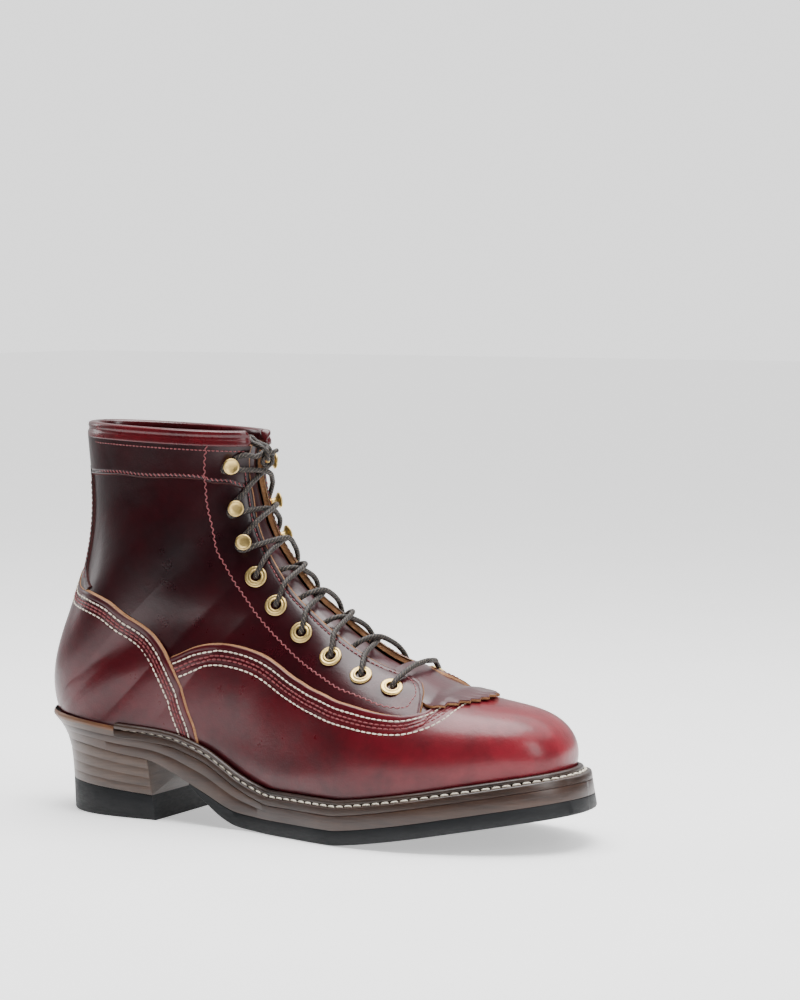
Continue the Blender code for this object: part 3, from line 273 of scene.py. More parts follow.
outer, inner = halfRings(-1), halfRings(1)
skinGrid = np.concatenate([outer, inner[:, -2::-1]], axis=1)
gridAcross = np.linspace(-1.0, 1.0, 2 * halfColumns + 1)
closedRows = gridRows > heelRow


def gridNormals(points):
    # normals are the cross product of the two directions of the grid; the toe's tip takes the mean
    along = np.gradient(points, axis=0)
    over = np.gradient(points, axis=1)
    seam = points[:, 1] - points[:, -2]
    over[closedRows, 0] = over[closedRows, -1] = seam[closedRows] / 2
    normal = unit(np.cross(over, along))
    normal[1] = normal[2]
    normal[0] = unit(normal[2].mean(axis=0))
    foot = np.clip((np.abs(gridAcross) - 0.93) / 0.07, 0, 1)[None, :] * (gridRows <= heelRow)[:, None]
    normal[..., 2] *= 1 - foot
    return unit(normal)


# creases placed as soft troughs (-) and ridges (+): row and across of both ends, the width
# as rows, and the depth; the leather breaks over the ball and folds a little at the ankle
creases = {
    "row": (8.6, 9.6, 13.4, 14.6, 15.8, 12.4, 17.2),
    "across": (-0.52, -0.56, -0.36, -0.42, -0.46, -0.30, -0.66),
    "rowEnd": (10.4, 11.6, 15.2, 16.3, 17.2, 13.2, 18.6),
    "acrossEnd": (-0.86, -0.90, -0.70, -0.78, -0.84, -0.50, -0.90),
    "wide": (0.050, 0.055, 0.045, 0.050, 0.050, 0.040, 0.060),
    "depth": (-0.0007, -0.0008, -0.0010, -0.0009, -0.0006, -0.0006, 0.0005)}


def creaseRelief():
    # each crease is a Gaussian valley round a straight line in row and across, faded at its ends
    row = gridRows[:, None] / lastRow
    total = np.zeros((len(gridRows), len(gridAcross)))
    for k in range(len(creases["row"])):
        a = np.array((creases["row"][k] / lastRow, creases["across"][k]))
        b = np.array((creases["rowEnd"][k] / lastRow, creases["acrossEnd"][k]))
        for side, fade in ((1, 1.0), (-1, 0.8)):
            p = np.stack(np.broadcast_arrays(row, side * gridAcross[None, :]), axis=-1)
            t = ((p - a) @ (b - a)) / ((b - a) @ (b - a))
            near = a + np.clip(t, 0, 1)[..., None] * (b - a)
            away = np.linalg.norm(p - near, axis=-1) / creases["wide"][k]
            total += fade * creases["depth"][k] * np.exp(-away ** 2) * np.exp(-((t - 0.5) / 0.55) ** 4)
    return total


skinNormals = gridNormals(skinGrid)
skinGrid = skinGrid + skinNormals * creaseRelief()[..., None]
skinNormals = gridNormals(skinGrid)
rowWay = np.gradient(skinGrid, rowStep, axis=0)
acrossWay = np.gradient(skinGrid, gridAcross, axis=1)
halfGirths = {-1: np.linalg.norm(np.diff(outer, axis=1), axis=2).sum(axis=1),
              1: np.linalg.norm(np.diff(inner, axis=1), axis=2).sum(axis=1)}


def look(grid, row, across):
    # bilinear reading of a grid; across wraps round the back above the heel row
    row, across = np.broadcast_arrays(np.asarray(row, float), np.asarray(across, float))
    across = np.where(row > heelRow, (across + 1) % 2 - 1, np.clip(across, -1, 1))
    r = np.clip(row, 0, lastRow) / rowStep
    a = (across + 1) * halfColumns
    i = np.clip(r.astype(int), 0, len(gridRows) - 2)
    j = np.clip(a.astype(int), 0, len(gridAcross) - 2)
    u, v = (r - i)[..., None], (a - j)[..., None]
    return ((grid[i, j] * (1 - v) + grid[i, j + 1] * v) * (1 - u)
            + (grid[i + 1, j] * (1 - v) + grid[i + 1, j + 1] * v) * u)


def leather(row, across, out=0.0):
    # a point of the upper, moved out along the normal and kept on the sole's seat
    row, across, out = np.broadcast_arrays(np.asarray(row, float), np.asarray(across, float), out)
    point = look(skinGrid, row, across) + unit(look(skinNormals, row, across)) * out[..., None]
    floor = soleTop(point[..., 0]) + boot["curvedGap"]
    point[..., 2] = np.where(row <= heelRow, np.maximum(point[..., 2], floor), point[..., 2])
    return point


def fromRidge(row, distance, side):
    # the across value that lies a distance in metres down from the ridge
    return side * np.asarray(distance) / np.interp(row, gridRows, halfGirths[side])


search = {"rows": 26, "columns": 14, "steps": 4, "rowStep": 0.03, "acrossStep": 0.006}


def findSpots(points, near):
    # row and across of points on the leather: the nearest corner of the grid round a first guess,
    # then a few short steps along the grid's two directions
    near = np.array(near, float)
    rows, columns = [np.arange(-search[key], search[key] + 1) for key in ("rows", "columns")]
    i = np.round(near[:, 0] / rowStep).astype(int)[:, None, None] + rows[None, :, None]
    j = np.round((near[:, 1] + 1) * halfColumns).astype(int)[:, None, None] + columns[None, None, :]
    i, j = np.broadcast_arrays(np.clip(i, 0, len(gridRows) - 1), np.clip(j, 0, len(gridAcross) - 1))
    away = ((skinGrid[i, j] - points[:, None, None]) ** 2).sum(-1).reshape(len(points), -1)
    best = away.argmin(axis=1)
    take = np.arange(len(points))
    spots = np.stack([gridRows[i.reshape(len(points), -1)[take, best]],
                      gridAcross[j.reshape(len(points), -1)[take, best]]], axis=1)
    for _ in range(search["steps"]):
        left = points - look(skinGrid, spots[:, 0], spots[:, 1])
        er, ea = look(rowWay, spots[:, 0], spots[:, 1]), look(acrossWay, spots[:, 0], spots[:, 1])
        rr, aa, ra = (er * er).sum(1), (ea * ea).sum(1), (er * ea).sum(1)
        wr, wa = (er * left).sum(1), (ea * left).sum(1)
        det = np.maximum(rr * aa - ra * ra, 1e-14)
        spots[:, 0] += np.clip((wr * aa - wa * ra) / det, -search["rowStep"], search["rowStep"])
        spots[:, 1] += np.clip((wa * rr - wr * ra) / det, -search["acrossStep"], search["acrossStep"])
        spots = np.clip(spots, (0.0, -1.0), (lastRow, 1.0))
    return spots


def relaxed(path, times=6):
    # small kinks taken out by a running mean, ends kept
    path = path.copy()
    for _ in range(times):
        path[1:-1] = (path[:-2] + 2 * path[1:-1] + path[2:]) / 4
    return path


def shift(spots, distance, side, steps=3):
    # a line of (row, across) moved sideways on the leather, toward the sole where distance is
    # positive: each step goes square to the line in the surface and is brought back onto it
    for _ in range(steps):
        point = relaxed(look(skinGrid, spots[:, 0], spots[:, 1]), 8)
        way = -side * np.cross(look(skinNormals, spots[:, 0], spots[:, 1]), np.gradient(point, axis=0))
        spots = findSpots(point + unit(relaxed(unit(way), 12)) * (distance / steps), spots)
    return spots


def evenLine(spots, count):
    # the same line of (row, across) with its points evenly spaced on the leather
    run = runOf(look(skinGrid, spots[:, 0], spots[:, 1]))
    return readAt(np.linspace(0.0, run[-1], count), run, spots)


print("boot: leather surface worked out")


def makeMesh(name, points, quads, looks, slots=None, smoothAngle=40):
    # welds points that fall together, drops faces that vanish and puts the rest into a mesh
    points = np.asarray(points, float).reshape(-1, 3)
    quads = np.asarray(quads).reshape(-1, 4)
    slots = np.zeros(len(quads), int) if slots is None else np.asarray(slots)
    keys, back = np.unique(np.round(points / 2e-6).astype(np.int64), axis=0, return_inverse=True)
    back = back.ravel()
    first = np.zeros(len(keys), int)
    first[back[::-1]] = np.arange(len(points))[::-1]
    quads = back[quads]
    same = quads == np.roll(quads, -1, axis=1)
    whole = ~same.any(axis=1) & (quads[:, 0] != quads[:, 2]) & (quads[:, 1] != quads[:, 3])
    faces = quads[whole].tolist()
    kept = slots[whole].tolist()
    folded = ~whole & (same.sum(axis=1) == 1)
    for quad, slot in zip(quads[folded].tolist(), slots[folded]):
        face = list(dict.fromkeys(quad))
        if len(face) == 3:
            faces.append(face)
            kept.append(int(slot))
    mesh = bpy.data.meshes.new(name)
    mesh.from_pydata(points[first].tolist(), [], faces)
    mesh.polygons.foreach_set("material_index", np.array(kept, dtype=np.int32))
    for item in looks:
        mesh.materials.append(item)
    mesh.validate()
    mesh.shade_smooth()
    mesh.set_sharp_from_angle(angle=math.radians(smoothAngle))
    item = bpy.data.objects.new(name, mesh)
    bpy.context.scene.collection.objects.link(item)
    return item


def grid(rows, columns, closedRow=False, closedColumn=False, first=0):
    # corner numbers of the quads of a grid of points, row after row
    i = np.arange(rows if closedRow else rows - 1)
    j = np.arange(columns if closedColumn else columns - 1)
    i, j = np.meshgrid(i, j, indexing="ij")
    k, l = (i + 1) % rows, (j + 1) % columns
    return first + np.stack([i * columns + j, i * columns + l, k * columns + l, k * columns + j], -1).reshape(-1, 4)


def finish(item, nodes=()):
    # every piece rides on the one body, and stands in for the solids it covers
    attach(item, "root")
    if nodes:
        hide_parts(*nodes)
    return item


def shellMesh(name, top, bottom, quads, looks, wallSlot=1, underSlot=0):
    # a sheet with thickness: its top and underside share one net of quads and are joined by a wall
    # along every free edge of the net
    top, bottom = top.reshape(-1, 3), bottom.reshape(-1, 3)
    keys, back = np.unique(np.round(top / 2e-6).astype(np.int64), axis=0, return_inverse=True)
    welded = back.ravel()[quads]
    edges = np.concatenate([np.stack([welded[:, k], welded[:, (k + 1) % 4]], 1) for k in range(4)])
    corners = np.concatenate([np.stack([quads[:, k], quads[:, (k + 1) % 4]], 1) for k in range(4)])
    real = edges[:, 0] != edges[:, 1]
    edges, corners = edges[real], corners[real]
    low = np.sort(edges, axis=1)
    _, where, counts = np.unique(low[:, 0] * (len(keys) + 1) + low[:, 1], return_inverse=True, return_counts=True)
    free = corners[counts[where.ravel()] == 1]
    n = len(top)
    walls = np.stack([free[:, 1], free[:, 0], free[:, 0] + n, free[:, 1] + n], axis=1)
    faces = np.concatenate([quads, quads[:, ::-1] + n, walls])
    slots = np.concatenate([np.zeros(len(quads), int), np.full(len(quads), underSlot),
                            np.full(len(walls), wallSlot)])
    return makeMesh(name, np.concatenate([top, bottom]), faces, looks, slots)


def sweepMesh(name, points, looks, closedRow=False, slots=None, smoothAngle=40):
    # sections of points one after the other; open ends are closed by a fan to their middle
    rows, columns = points.shape[:2]
    quads = grid(rows, columns, closedRow, True)
    flat = points.reshape(-1, 3)
    slots = np.zeros(len(quads), int) if slots is None else np.tile(slots, rows if closedRow else rows - 1)
    if not closedRow:
        middle = np.stack([points[0].mean(axis=0), points[-1].mean(axis=0)])
        j = np.arange(columns)
        n = len(flat)
        head = np.stack([j, np.full(columns, n), np.full(columns, n), (j + 1) % columns], axis=1)[:, [3, 0, 1, 2]]
        tail = np.stack([(rows - 1) * columns + j, (rows - 1) * columns + (j + 1) % columns,
                         np.full(columns, n + 1), np.full(columns, n + 1)], axis=1)
        flat = np.concatenate([flat, middle])
        quads = np.concatenate([quads, head, tail])
        slots = np.concatenate([slots, np.full(2 * columns, slots[0])])
    return makeMesh(name, flat, quads, looks, slots, smoothAngle)


def turnOut(item):
    # makes the faces of a closed mesh point outwards
    made = bmesh.new()
    made.from_mesh(item.data)
    bmesh.ops.recalc_face_normals(made, faces=made.faces)
    made.to_mesh(item.data)
    made.free()
    return item


def colour(hexValue):
    # an sRGB hex value turned to linear light
    parts = np.array([int(hexValue[k:k + 2], 16) / 255 for k in (1, 3, 5)])
    return (*np.where(parts <= 0.04045, parts / 12.92, ((parts + 0.055) / 1.055) ** 2.4).tolist(), 1.0)


def add(tree, kind, inputs=None, output=0, **settings):
    # adds a node with its settings and links, and gives back the socket that the next node reads
    made = tree.nodes.new("ShaderNode" + kind)
    for key, value in settings.items():
        setattr(made, key, value)
    for key, value in (inputs or {}).items():
        if isinstance(value, bpy.types.NodeSocket):
            tree.links.new(value, made.inputs[key])
        else:
            made.inputs[key].default_value = value
    return made.outputs[output]


def makeLook(name, patterns, colours, shine=(), bump=(), **fixed):
    # a material from its tables. A pattern that starts with a size in metres is a noise of such
    # spots (size, detail, roughness, low, high, stretch); one that starts with a word reads that
    # axis or attribute (word, low, high); both run from 0 at low to 1 at high. Each colour is laid
    # over the last by a pattern's share, times a second pattern if it has one. Shine is the
    # roughness and what each pattern adds to it; bump is strength, depth and the patterns' heights
    made = bpy.data.materials.new(name)
    made.use_nodes = True
    tree = made.node_tree
    shader = tree.nodes["Principled BSDF"]
    for key, value in fixed.items():
        shader.inputs[key.replace("_", " ")].default_value = value
    place = add(tree, "TexCoord", output="Object")
    maps = {}
    for key, (kind, *numbers) in patterns.items():
        if kind in ("X", "Y", "Z"):
            value, ends = add(tree, "SeparateXYZ", {"Vector": place}, kind), numbers
        elif isinstance(kind, str):
            value, ends = add(tree, "Attribute", output="Fac", attribute_name=kind), numbers
        else:
            detail, rough, low, high, *stretch = numbers
            at = add(tree, "Mapping", {"Vector": place, "Scale": stretch[0]}) if stretch else place
            value = add(tree, "TexNoise", {"Vector": at, "Scale": 0.5 / kind, "Detail": detail,
                                           "Roughness": rough})
            ends = (low, high)
        maps[key] = add(tree, "MapRange", {"Value": value, "From Min": ends[0], "From Max": ends[1]})
    base, *layers = colours
    base = colour(base)
    for key, share, over, *worn in layers:
        much = add(tree, "Math", {0: maps[key], 1: share}, operation="MULTIPLY")
        if worn:
            second, low, high, least = worn[0]
            part = add(tree, "MapRange", {"Value": maps[second], "From Min": low, "From Max": high,
                                          "To Min": least})
            much = add(tree, "Math", {0: much, 1: part}, operation="MULTIPLY")
        base = add(tree, "Mix", {0: much, 6: base, 7: colour(over)}, 2, data_type="RGBA")
    tree.links.new(base, shader.inputs["Base Color"])
    if shine:
        rough, *parts = shine
        for key, share in parts:
            rough = add(tree, "Math", {0: maps[key], 1: share, 2: rough}, operation="MULTIPLY_ADD")
        tree.links.new(rough, shader.inputs["Roughness"])
    if bump:
        strength, depth, height = bump
        if not isinstance(height, str):
            grain = {"Vector": place, **height["soft"]}
            pull = {"Vector": place, **height["pull"]}
            pores = add(tree, "TexVoronoi", {"Vector": place, "Scale": height["pores"]})
            relief = add(tree, "Math", {0: pores, 1: height["poreShare"], 2: add(tree, "TexNoise", grain)},
                         operation="MULTIPLY_ADD")
            relief = add(tree, "Math", {0: add(tree, "TexNoise", pull), 1: height["pullShare"], 2: relief},
                         operation="MULTIPLY_ADD")
        else:
            relief = maps[height]
        way = add(tree, "Bump", {"Strength": strength, "Distance": depth, "Height": relief})
        tree.links.new(way, shader.inputs["Normal"])
    return made


# full-grain leather, drum-dyed oxblood and hot-stuffed with oil and wax: the dye pools in dark
# clouds, the wax pulls up redder where the last stretches it at the toe, and it shines softly
leatherGrain = {"pores": 1100.0, "poreShare": 0.35, "soft": {"Scale": 260.0, "Detail": 5.0, "Roughness": 0.6},
                "pull": {"Scale": 42.0, "Detail": 2.0, "Roughness": 0.5}, "pullShare": 2.2}
leatherPatterns = {"clouds": (0.030, 4.0, 0.6, 0.36, 0.66), "spots": (0.0055, 4.0, 0.6, 0.30, 0.72),
                   "blotches": (0.011, 4.0, 0.6, 0.42, 0.70),
                   "below": ("Z", 0.125, 0.060), "forward": ("X", 0.040, 0.130)}
# name: deep, body, warm (below) and toe (forward) colours, roughness and the wax coat's weight
leatherKinds = {
    "oiled oxblood leather": ("#1b050a", "#3f0a12", "#5e0f1a", "#86202c", 0.25, 0.20),
    "oiled oxblood shaft leather": ("#140307", "#2c070d", "#4a0c15", "#6a1822", 0.24, 0.16),
    "oxblood binding leather": ("#34080e", "#5a1119", "#6a161f", "#6a161f", 0.20, 0.40),
    "waxed false tongue leather": ("#2a1215", "#4a1f26", "#54242b", "#5c2a31", 0.26, 0.35),
    "smooth lining leather": ("#14070b", "#2c0e18", "#2c0e18", "#2c0e18", 0.42, 0.10)}
oxbloodLook, shaftLook, bindingLook, kiltieLook, liningLook = [
    makeLook(name, leatherPatterns,
             (deep, ("clouds", 1.0, body), ("below", 0.62, warm), ("forward", 0.85, toe),
              ("spots", 0.24, deep), ("blotches", 0.42, deep)),
             (rough, ("spots", 0.10), ("clouds", 0.05)), (0.24, 0.0004, leatherGrain),
             Coat_Weight=coat, Coat_Roughness=0.20, IOR=1.38)
    for name, (deep, body, warm, toe, rough, coat) in leatherKinds.items()]

# the cut side of vegetable-dyed leather: undyed tan fibre, matt, with darker strands
cutKinds = {"raw tan cut edge": ("#b98a62", "#6a3e26"), "inked cut edge": ("#4a1e1c", "#200c0b"),
            "undyed insole leather": ("#a8805c", "#6e4a34")}
rawLook, darkEdgeLook, insoleLook = [
    makeLook(name, {"fibre": (0.0007, 4.0, 0.7, 0.3, 0.7, (1.0, 1.0, 2.5)),
                    "patches": (0.006, 3.0, 0.6, 0.35, 0.7)},
             (pale, ("fibre", 0.6, dark), ("patches", 0.35, dark)), (), (0.6, 0.0003, "fibre"),
             Roughness=0.82, Specular_IOR_Level=0.3)
    for name, (pale, dark) in cutKinds.items()]

# stacked sole leather, sanded, inked brown and burnished with wax: the sheets and their fibres show
# as thin level lines, and the wax gives a soft sheen. Dark, mid and pale colours, the sheets'
# thickness, roughness and coat
edgeKinds = {"burnished sole leather": ("#20120c", "#3c241a", "#64452f", 0.0009, 0.34, 0.25),
             "burnished heel stack": ("#2c1e17", "#4e392d", "#6e5646", 0.0008, 0.36, 0.25),
             "tan seat rand": ("#3c2214", "#6a4024", "#86582f", 0.0008, 0.45, 0.10),
             # the storm welt's own leather, also laid on the rand's top and channel as painted shade
             "storm welt leather and painted rand shade": ("#1c110c", "#38241a", "#54392a", 0.0008, 0.32, 0.30)}
level = (0.10, 0.10, 1.0)
soleLook, heelLook, randLook, weltAndShadeLook = [
    makeLook(name, {"fibres": (sheet, 5.0, 0.75, 0.32, 0.70, level),
                    "layers": (sheet * 5, 2.0, 0.5, 0.38, 0.62, level), "patches": (0.018, 4.0, 0.6, 0.35, 0.68)},
             (dark, ("fibres", 1.0, mid), ("layers", 0.22, pale), ("patches", 0.40, dark)),
             (rough, ("patches", 0.14)), (0.35, 0.0002, "fibres"), Coat_Weight=coat, Coat_Roughness=0.32, IOR=1.46)
    for name, (dark, mid, pale, sheet, rough, coat) in edgeKinds.items()]

# moulded and sanded black sole rubber: matt charcoal with a faint bloom and fine sanding marks
rubberLook = makeLook("black sole rubber", {"bloom": (0.020, 4.0, 0.6, 0.35, 0.7),
                                            "marks": (0.0005, 3.0, 0.6, 0.3, 0.7, (0.25, 0.25, 1.0))},
                      ("#0a0b0d", ("bloom", 0.8, "#16181b"), ("marks", 0.2, "#16181b")),
                      (0.50, ("marks", 0.14)), (0.3, 0.00015, "marks"), Specular_IOR_Level=0.32)

# solid brass, pressed, polished and left bare: warm gold with faint handling marks
brassLook = makeLook("bare brass", {"marks": (0.0012, 4.0, 0.7, 0.3, 0.7)}, ("#e3c784", ("marks", 0.5, "#b08a48")),
                     (0.36, ("marks", 0.08)), Metallic=1.0)

# round braided cotton lace, dyed dark brown and waxed, with a painted highlight: a pale fleck on the top of each
# plait
laceLook = makeLook("waxed lace braid", {"fuzz": (0.0006, 3.0, 0.7, 0.3, 0.7), "plaits": ("plait", 0.84, 0.98)},
                    ("#080404", ("fuzz", 1.0, "#180e0a"), ("plaits", 1.0, "#c4ae98", ("fuzz", 0.1, 0.8, 0.35))),
                    (), (0.5, 0.0002, "fuzz"), Roughness=0.62, Sheen_Weight=0.05, Sheen_Roughness=0.5)

# bonded polyester thread pulled tight into the leather: a slight twist and a soft shine
threadKinds = {"off-white thread": ("#ece2d0", "#ab9a84", 0.55), "red brown thread": ("#8a3236", "#4e1a1e", 0.55),
               "faded rose thread": ("#9c4c50", "#5e2428", 0.55), "waxed welt thread": ("#f0e8d6", "#bfae94", 0.6)}
whiteThread, redThread, roseThread, weltThread = [
    makeLook(name, {"twist": (0.0005, 2.0, 0.5, 0.3, 0.7)}, (pale, ("twist", 0.6, dark)), (),
             (0.4, 0.0001, "twist"), Roughness=rough, Sheen_Weight=0.2)
    for name, (pale, dark, rough) in threadKinds.items()]
print("boot: materials mixed")

camera = {"place": (0.742, -1.3489, 0.274), "look": (-0.45731, 0.88678, -0.06703), "roll": 0.2,
          "lens": 109.9, "film": 36.0, "shift": (0.0022, -0.0118)}
# place, what it faces, width and height, power in watts
softBoxes = {"light_above": ((0.02, 0.02, 1.15), (0.02, 0.0, 0.08), (1.0, 0.9), 24.0),
             "light_right": ((1.25, -0.35, 0.70), (0.03, 0.0, 0.09), (0.4, 0.9), 8.0),
             "light_left": ((-1.30, 0.05, 0.65), (-0.05, 0.0, 0.08), (0.35, 0.9), 4.0)}
skyLight = {"power": 2.6, "wide": 70, "turnX": -16, "turnY": 8}
# a white backdrop behind the boot that fades to a dim room behind the camera
studio = {"behind": 0.80, "front": 0.05, "backdrop": 1.75, "way": (-0.457, 0.887, 0.0), "from": -0.1, "to": 0.75}


def stand(item, right, top, back, place):
    # links an object and turns it so that its own axes lie along three directions at a place
    axes = np.stack([right, top, back], axis=1).tolist()
    item.matrix_world = Matrix([[*row, at] for row, at in zip(axes, place)] + [[0, 0, 0, 1]])
    bpy.context.scene.collection.objects.link(item)


lens = bpy.data.cameras.new("camera")
lens.sensor_fit = "VERTICAL"
lens.sensor_height = camera["film"]
lens.lens = camera["lens"]
lens.shift_x, lens.shift_y = camera["shift"]
lens.clip_end = 50.0
eye = bpy.data.objects.new("camera", lens)
ahead = unit(camera["look"])
right = unit(np.cross(ahead, (0.0, 0.0, 1.0)))
above = np.cross(right, ahead)
tilt = math.radians(camera["roll"])
stand(eye, right * math.cos(tilt) + above * math.sin(tilt), above * math.cos(tilt) - right * math.sin(tilt),
      -ahead, camera["place"])
bpy.context.scene.camera = eye

for name, (place, target, size, watts) in softBoxes.items():
    light = bpy.data.lights.new(name, "AREA")
    light.shape = "RECTANGLE"
    light.size, light.size_y = size
    light.energy = watts
    way = unit(np.array(target) - np.array(place))
    side = unit(np.cross(way, (0.0, 0.02, 1.0)))
    stand(bpy.data.objects.new(name, light), side, np.cross(side, way), -way, place)
sun = bpy.data.lights.new("light_sky", "SUN")
sun.energy, sun.angle = skyLight["power"], math.radians(skyLight["wide"])
sky = bpy.data.objects.new("light_sky", sun)
sky.matrix_world = (Matrix.Rotation(math.radians(skyLight["turnX"]), 4, "X")
                    @ Matrix.Rotation(math.radians(skyLight["turnY"]), 4, "Y"))
bpy.context.scene.collection.objects.link(sky)

world = bpy.data.worlds.new("studio")
world.use_nodes = True
room = world.node_tree
backWay = add(room, "VectorMath", {0: add(room, "TexCoord", output="Generated"), 1: studio["way"]}, "Value",
             operation="DOT_PRODUCT")
fade = add(room, "MapRange", {"Value": backWay, "From Min": studio["from"], "From Max": studio["to"],
                              "To Min": studio["front"], "To Max": studio["behind"]})
seen = add(room, "LightPath", output="Is Camera Ray")
power = add(room, "Mix", {0: seen, 2: fade, 3: studio["backdrop"]}, data_type="FLOAT")
background = room.nodes["Background"]
background.inputs[0].default_value = (1.0, 1.0, 1.0, 1.0)
room.links.new(power, background.inputs[1])
bpy.context.scene.world = world

# the paper ends in front of the boot, so that the dark of the room shows in the leather
floorLook = makeLook("white paper floor", {"paper": (0.05, 3.0, 0.5, 0.3, 0.7)},
                     ("#f4f4f4", ("paper", 1.0, "#f8f8f8")), Roughness=0.6, Emission_Strength=0.62,
                     Emission_Color=(1.0, 1.0, 1.0, 1.0))
floor = makeMesh("floor", [(-0.75, -0.62, 0), (6, -0.62, 0), (6, 9, 0), (-6, 9, 0), (-6, 7, 0), (-0.75, 0.3, 0)],
                 [[0, 1, 2, 5], [5, 2, 3, 4]], [floorLook])
print("boot: camera and lights set")

# the lace: one route through the eyelets and round the hooks, then a knot and two tails
throat = {
    "row": (7.7, 7.85, 8.2, 9.0, 10.0, 11.0, 12.0, 13.0, 14.0, 15.0, 16.5, 18.0, 20.5, 23.0),
    "lateral": (0.0, 0.0085, 0.0135, 0.0155, 0.0158, 0.0150, 0.0136, 0.0125, 0.0110, 0.0098, 0.0088,
                0.0080, 0.0080, 0.0090),
    "medial": (0.0, 0.0070, 0.0095, 0.0105, 0.0103, 0.0095, 0.0085, 0.0078, 0.0070, 0.0064, 0.0060,
               0.0056, 0.0056, 0.0062)}
eyelets = {"row": (8.55, 9.50, 10.55, 11.60, 12.70, 13.80),
           "lateral": (0.0282, 0.0290, 0.0276, 0.0262, 0.0242, 0.0234),
           "medial": (0.0232, 0.0240, 0.0226, 0.0212, 0.0195, 0.0190)}
hooks = {"row": (15.15, 17.60, 21.40), "lateral": (0.0208, 0.0203, 0.0198), "medial": (0.0170, 0.0168, 0.0165)}
lace = {"diameter": boot["lace"], "plait": 0.0040, "relief": 0.00022, "sides": 16, "step": 0.00045,
        "orbit": 0.0032, "level": 0.0018, "crossing": 0.0026}
knot = {"row": 22.2, "distance": -0.0020, "height": 0.0070, "size": 0.00155, "tall": 1.15, "deep": 0.0016,
        "thinner": 0.0002}


def over(row, distance, height, rise=0.0):
    # a point over the upper: distance from the ridge is negative on the outer side, rise is metres
    # further up the rows
    side = -1 if distance < 0 else 1
    across = float(fromRidge(row, abs(distance), side))
    return leather(row + rise / np.linalg.norm(look(rowWay, row, across)), across, height)


def smoothPath(points, spacing):
    # a Catmull-Rom line through the points, then evenly spaced along its length
    p = np.asarray(points, float)
    p = np.concatenate([[2 * p[0] - p[1]], p, [2 * p[-1] - p[-2]]])
    t = np.linspace(0, 1, 24, endpoint=False)[None, :, None]
    a, b, c, d = p[:-3, None], p[1:-2, None], p[2:-1, None], p[3:, None]
    path = 0.5 * (2 * b + (c - a) * t + (2 * a - 5 * b + 4 * c - d) * t ** 2 + (3 * b - a - 3 * c + d) * t ** 3)
    path = np.concatenate([path.reshape(-1, 3), p[-2:-1]])
    run = runOf(path)
    return readAt(np.linspace(0, run[-1], max(int(run[-1] / spacing), 4) + 1), run, path)


def nearestRing(points, path):
    # the number of the path's point nearest to each point, in batches of whole arrays
    parts = np.array_split(points, max(1, len(points) // 4000))
    return np.concatenate([((part[:, None] - path[None]) ** 2).sum(-1).argmin(axis=1) for part in parts])


def braidTube(name, path, radius):
    # a tube round the path, whose radius swells where the strands of two crossing spirals lie on
    # top; its sections turn as little as possible, its ends round off, and the height of each plait
    # is kept for the material, which paints a pale highlight on the top of each plait
    along = unit(np.gradient(path, axis=0))
    up = np.cross(along[0], (0.3, 0.5, 0.8))
    ups = [up / np.linalg.norm(up)]
    for way in along[1:]:
        up = ups[-1] - way * ups[-1].dot(way)
        ups.append(up / np.linalg.norm(up))
    up = np.array(ups)
    aside = np.cross(along, up)
    run = runOf(path)
    angle = np.linspace(0, 2 * math.pi, lace["sides"], endpoint=False)[None, :]
    wave = 2 * math.pi * run[:, None] / lace["plait"]

    def strands(turned, at):
        return np.abs(np.cos(2 * turned + at)), np.abs(np.cos(2 * turned - at + math.pi / 4))

    first, second = strands(angle, wave)
    r = radius - lace["relief"] + lace["relief"] * 1.6 * (np.maximum(first, second * 0.96) - 0.4)
    fade = np.clip(np.minimum(run, run[-1] - run) / radius, 0.0, 1.0)
    r = (r * np.sqrt(np.maximum(1 - (1 - fade) ** 2, 0.04))[:, None])[..., None]
    points = path[:, None] + r * (np.cos(angle)[..., None] * up[:, None]
                                  + np.sin(angle)[..., None] * aside[:, None])
    item = turnOut(sweepMesh(name, points, [laceLook], smoothAngle=60))
    mesh = item.data
    co = np.empty(len(mesh.vertices) * 3)
    mesh.vertices.foreach_get("co", co)
    co = co.reshape(-1, 3)
    k = nearestRing(co, path)
    turned = np.arctan2(((co - path[k]) * aside[k]).sum(1), ((co - path[k]) * up[k]).sum(1))
    first, second = strands(turned, wave[k, 0])
    # the plait's height, from which the lace material paints a pale highlight on each plait's top
    plait = mesh.attributes.new("plait", "FLOAT", "POINT")
    plait.data.foreach_set("value", np.where(first > second, first, 0.45 + 0.2 * second).astype(np.float32))
    return item


def fastening(n, side):
    # row and distance from the ridge of the n-th pair from the toe, and whether it is a hook
    table, k = (eyelets, n) if n < 6 else (hooks, n - 6)
    return table["row"][k], table[sideName[side]][k], n >= 6


def edgeAt(row, side):
    # distance of the throat's edge from the ridge
    return float(curve(throat, sideName[side], row, "row"))


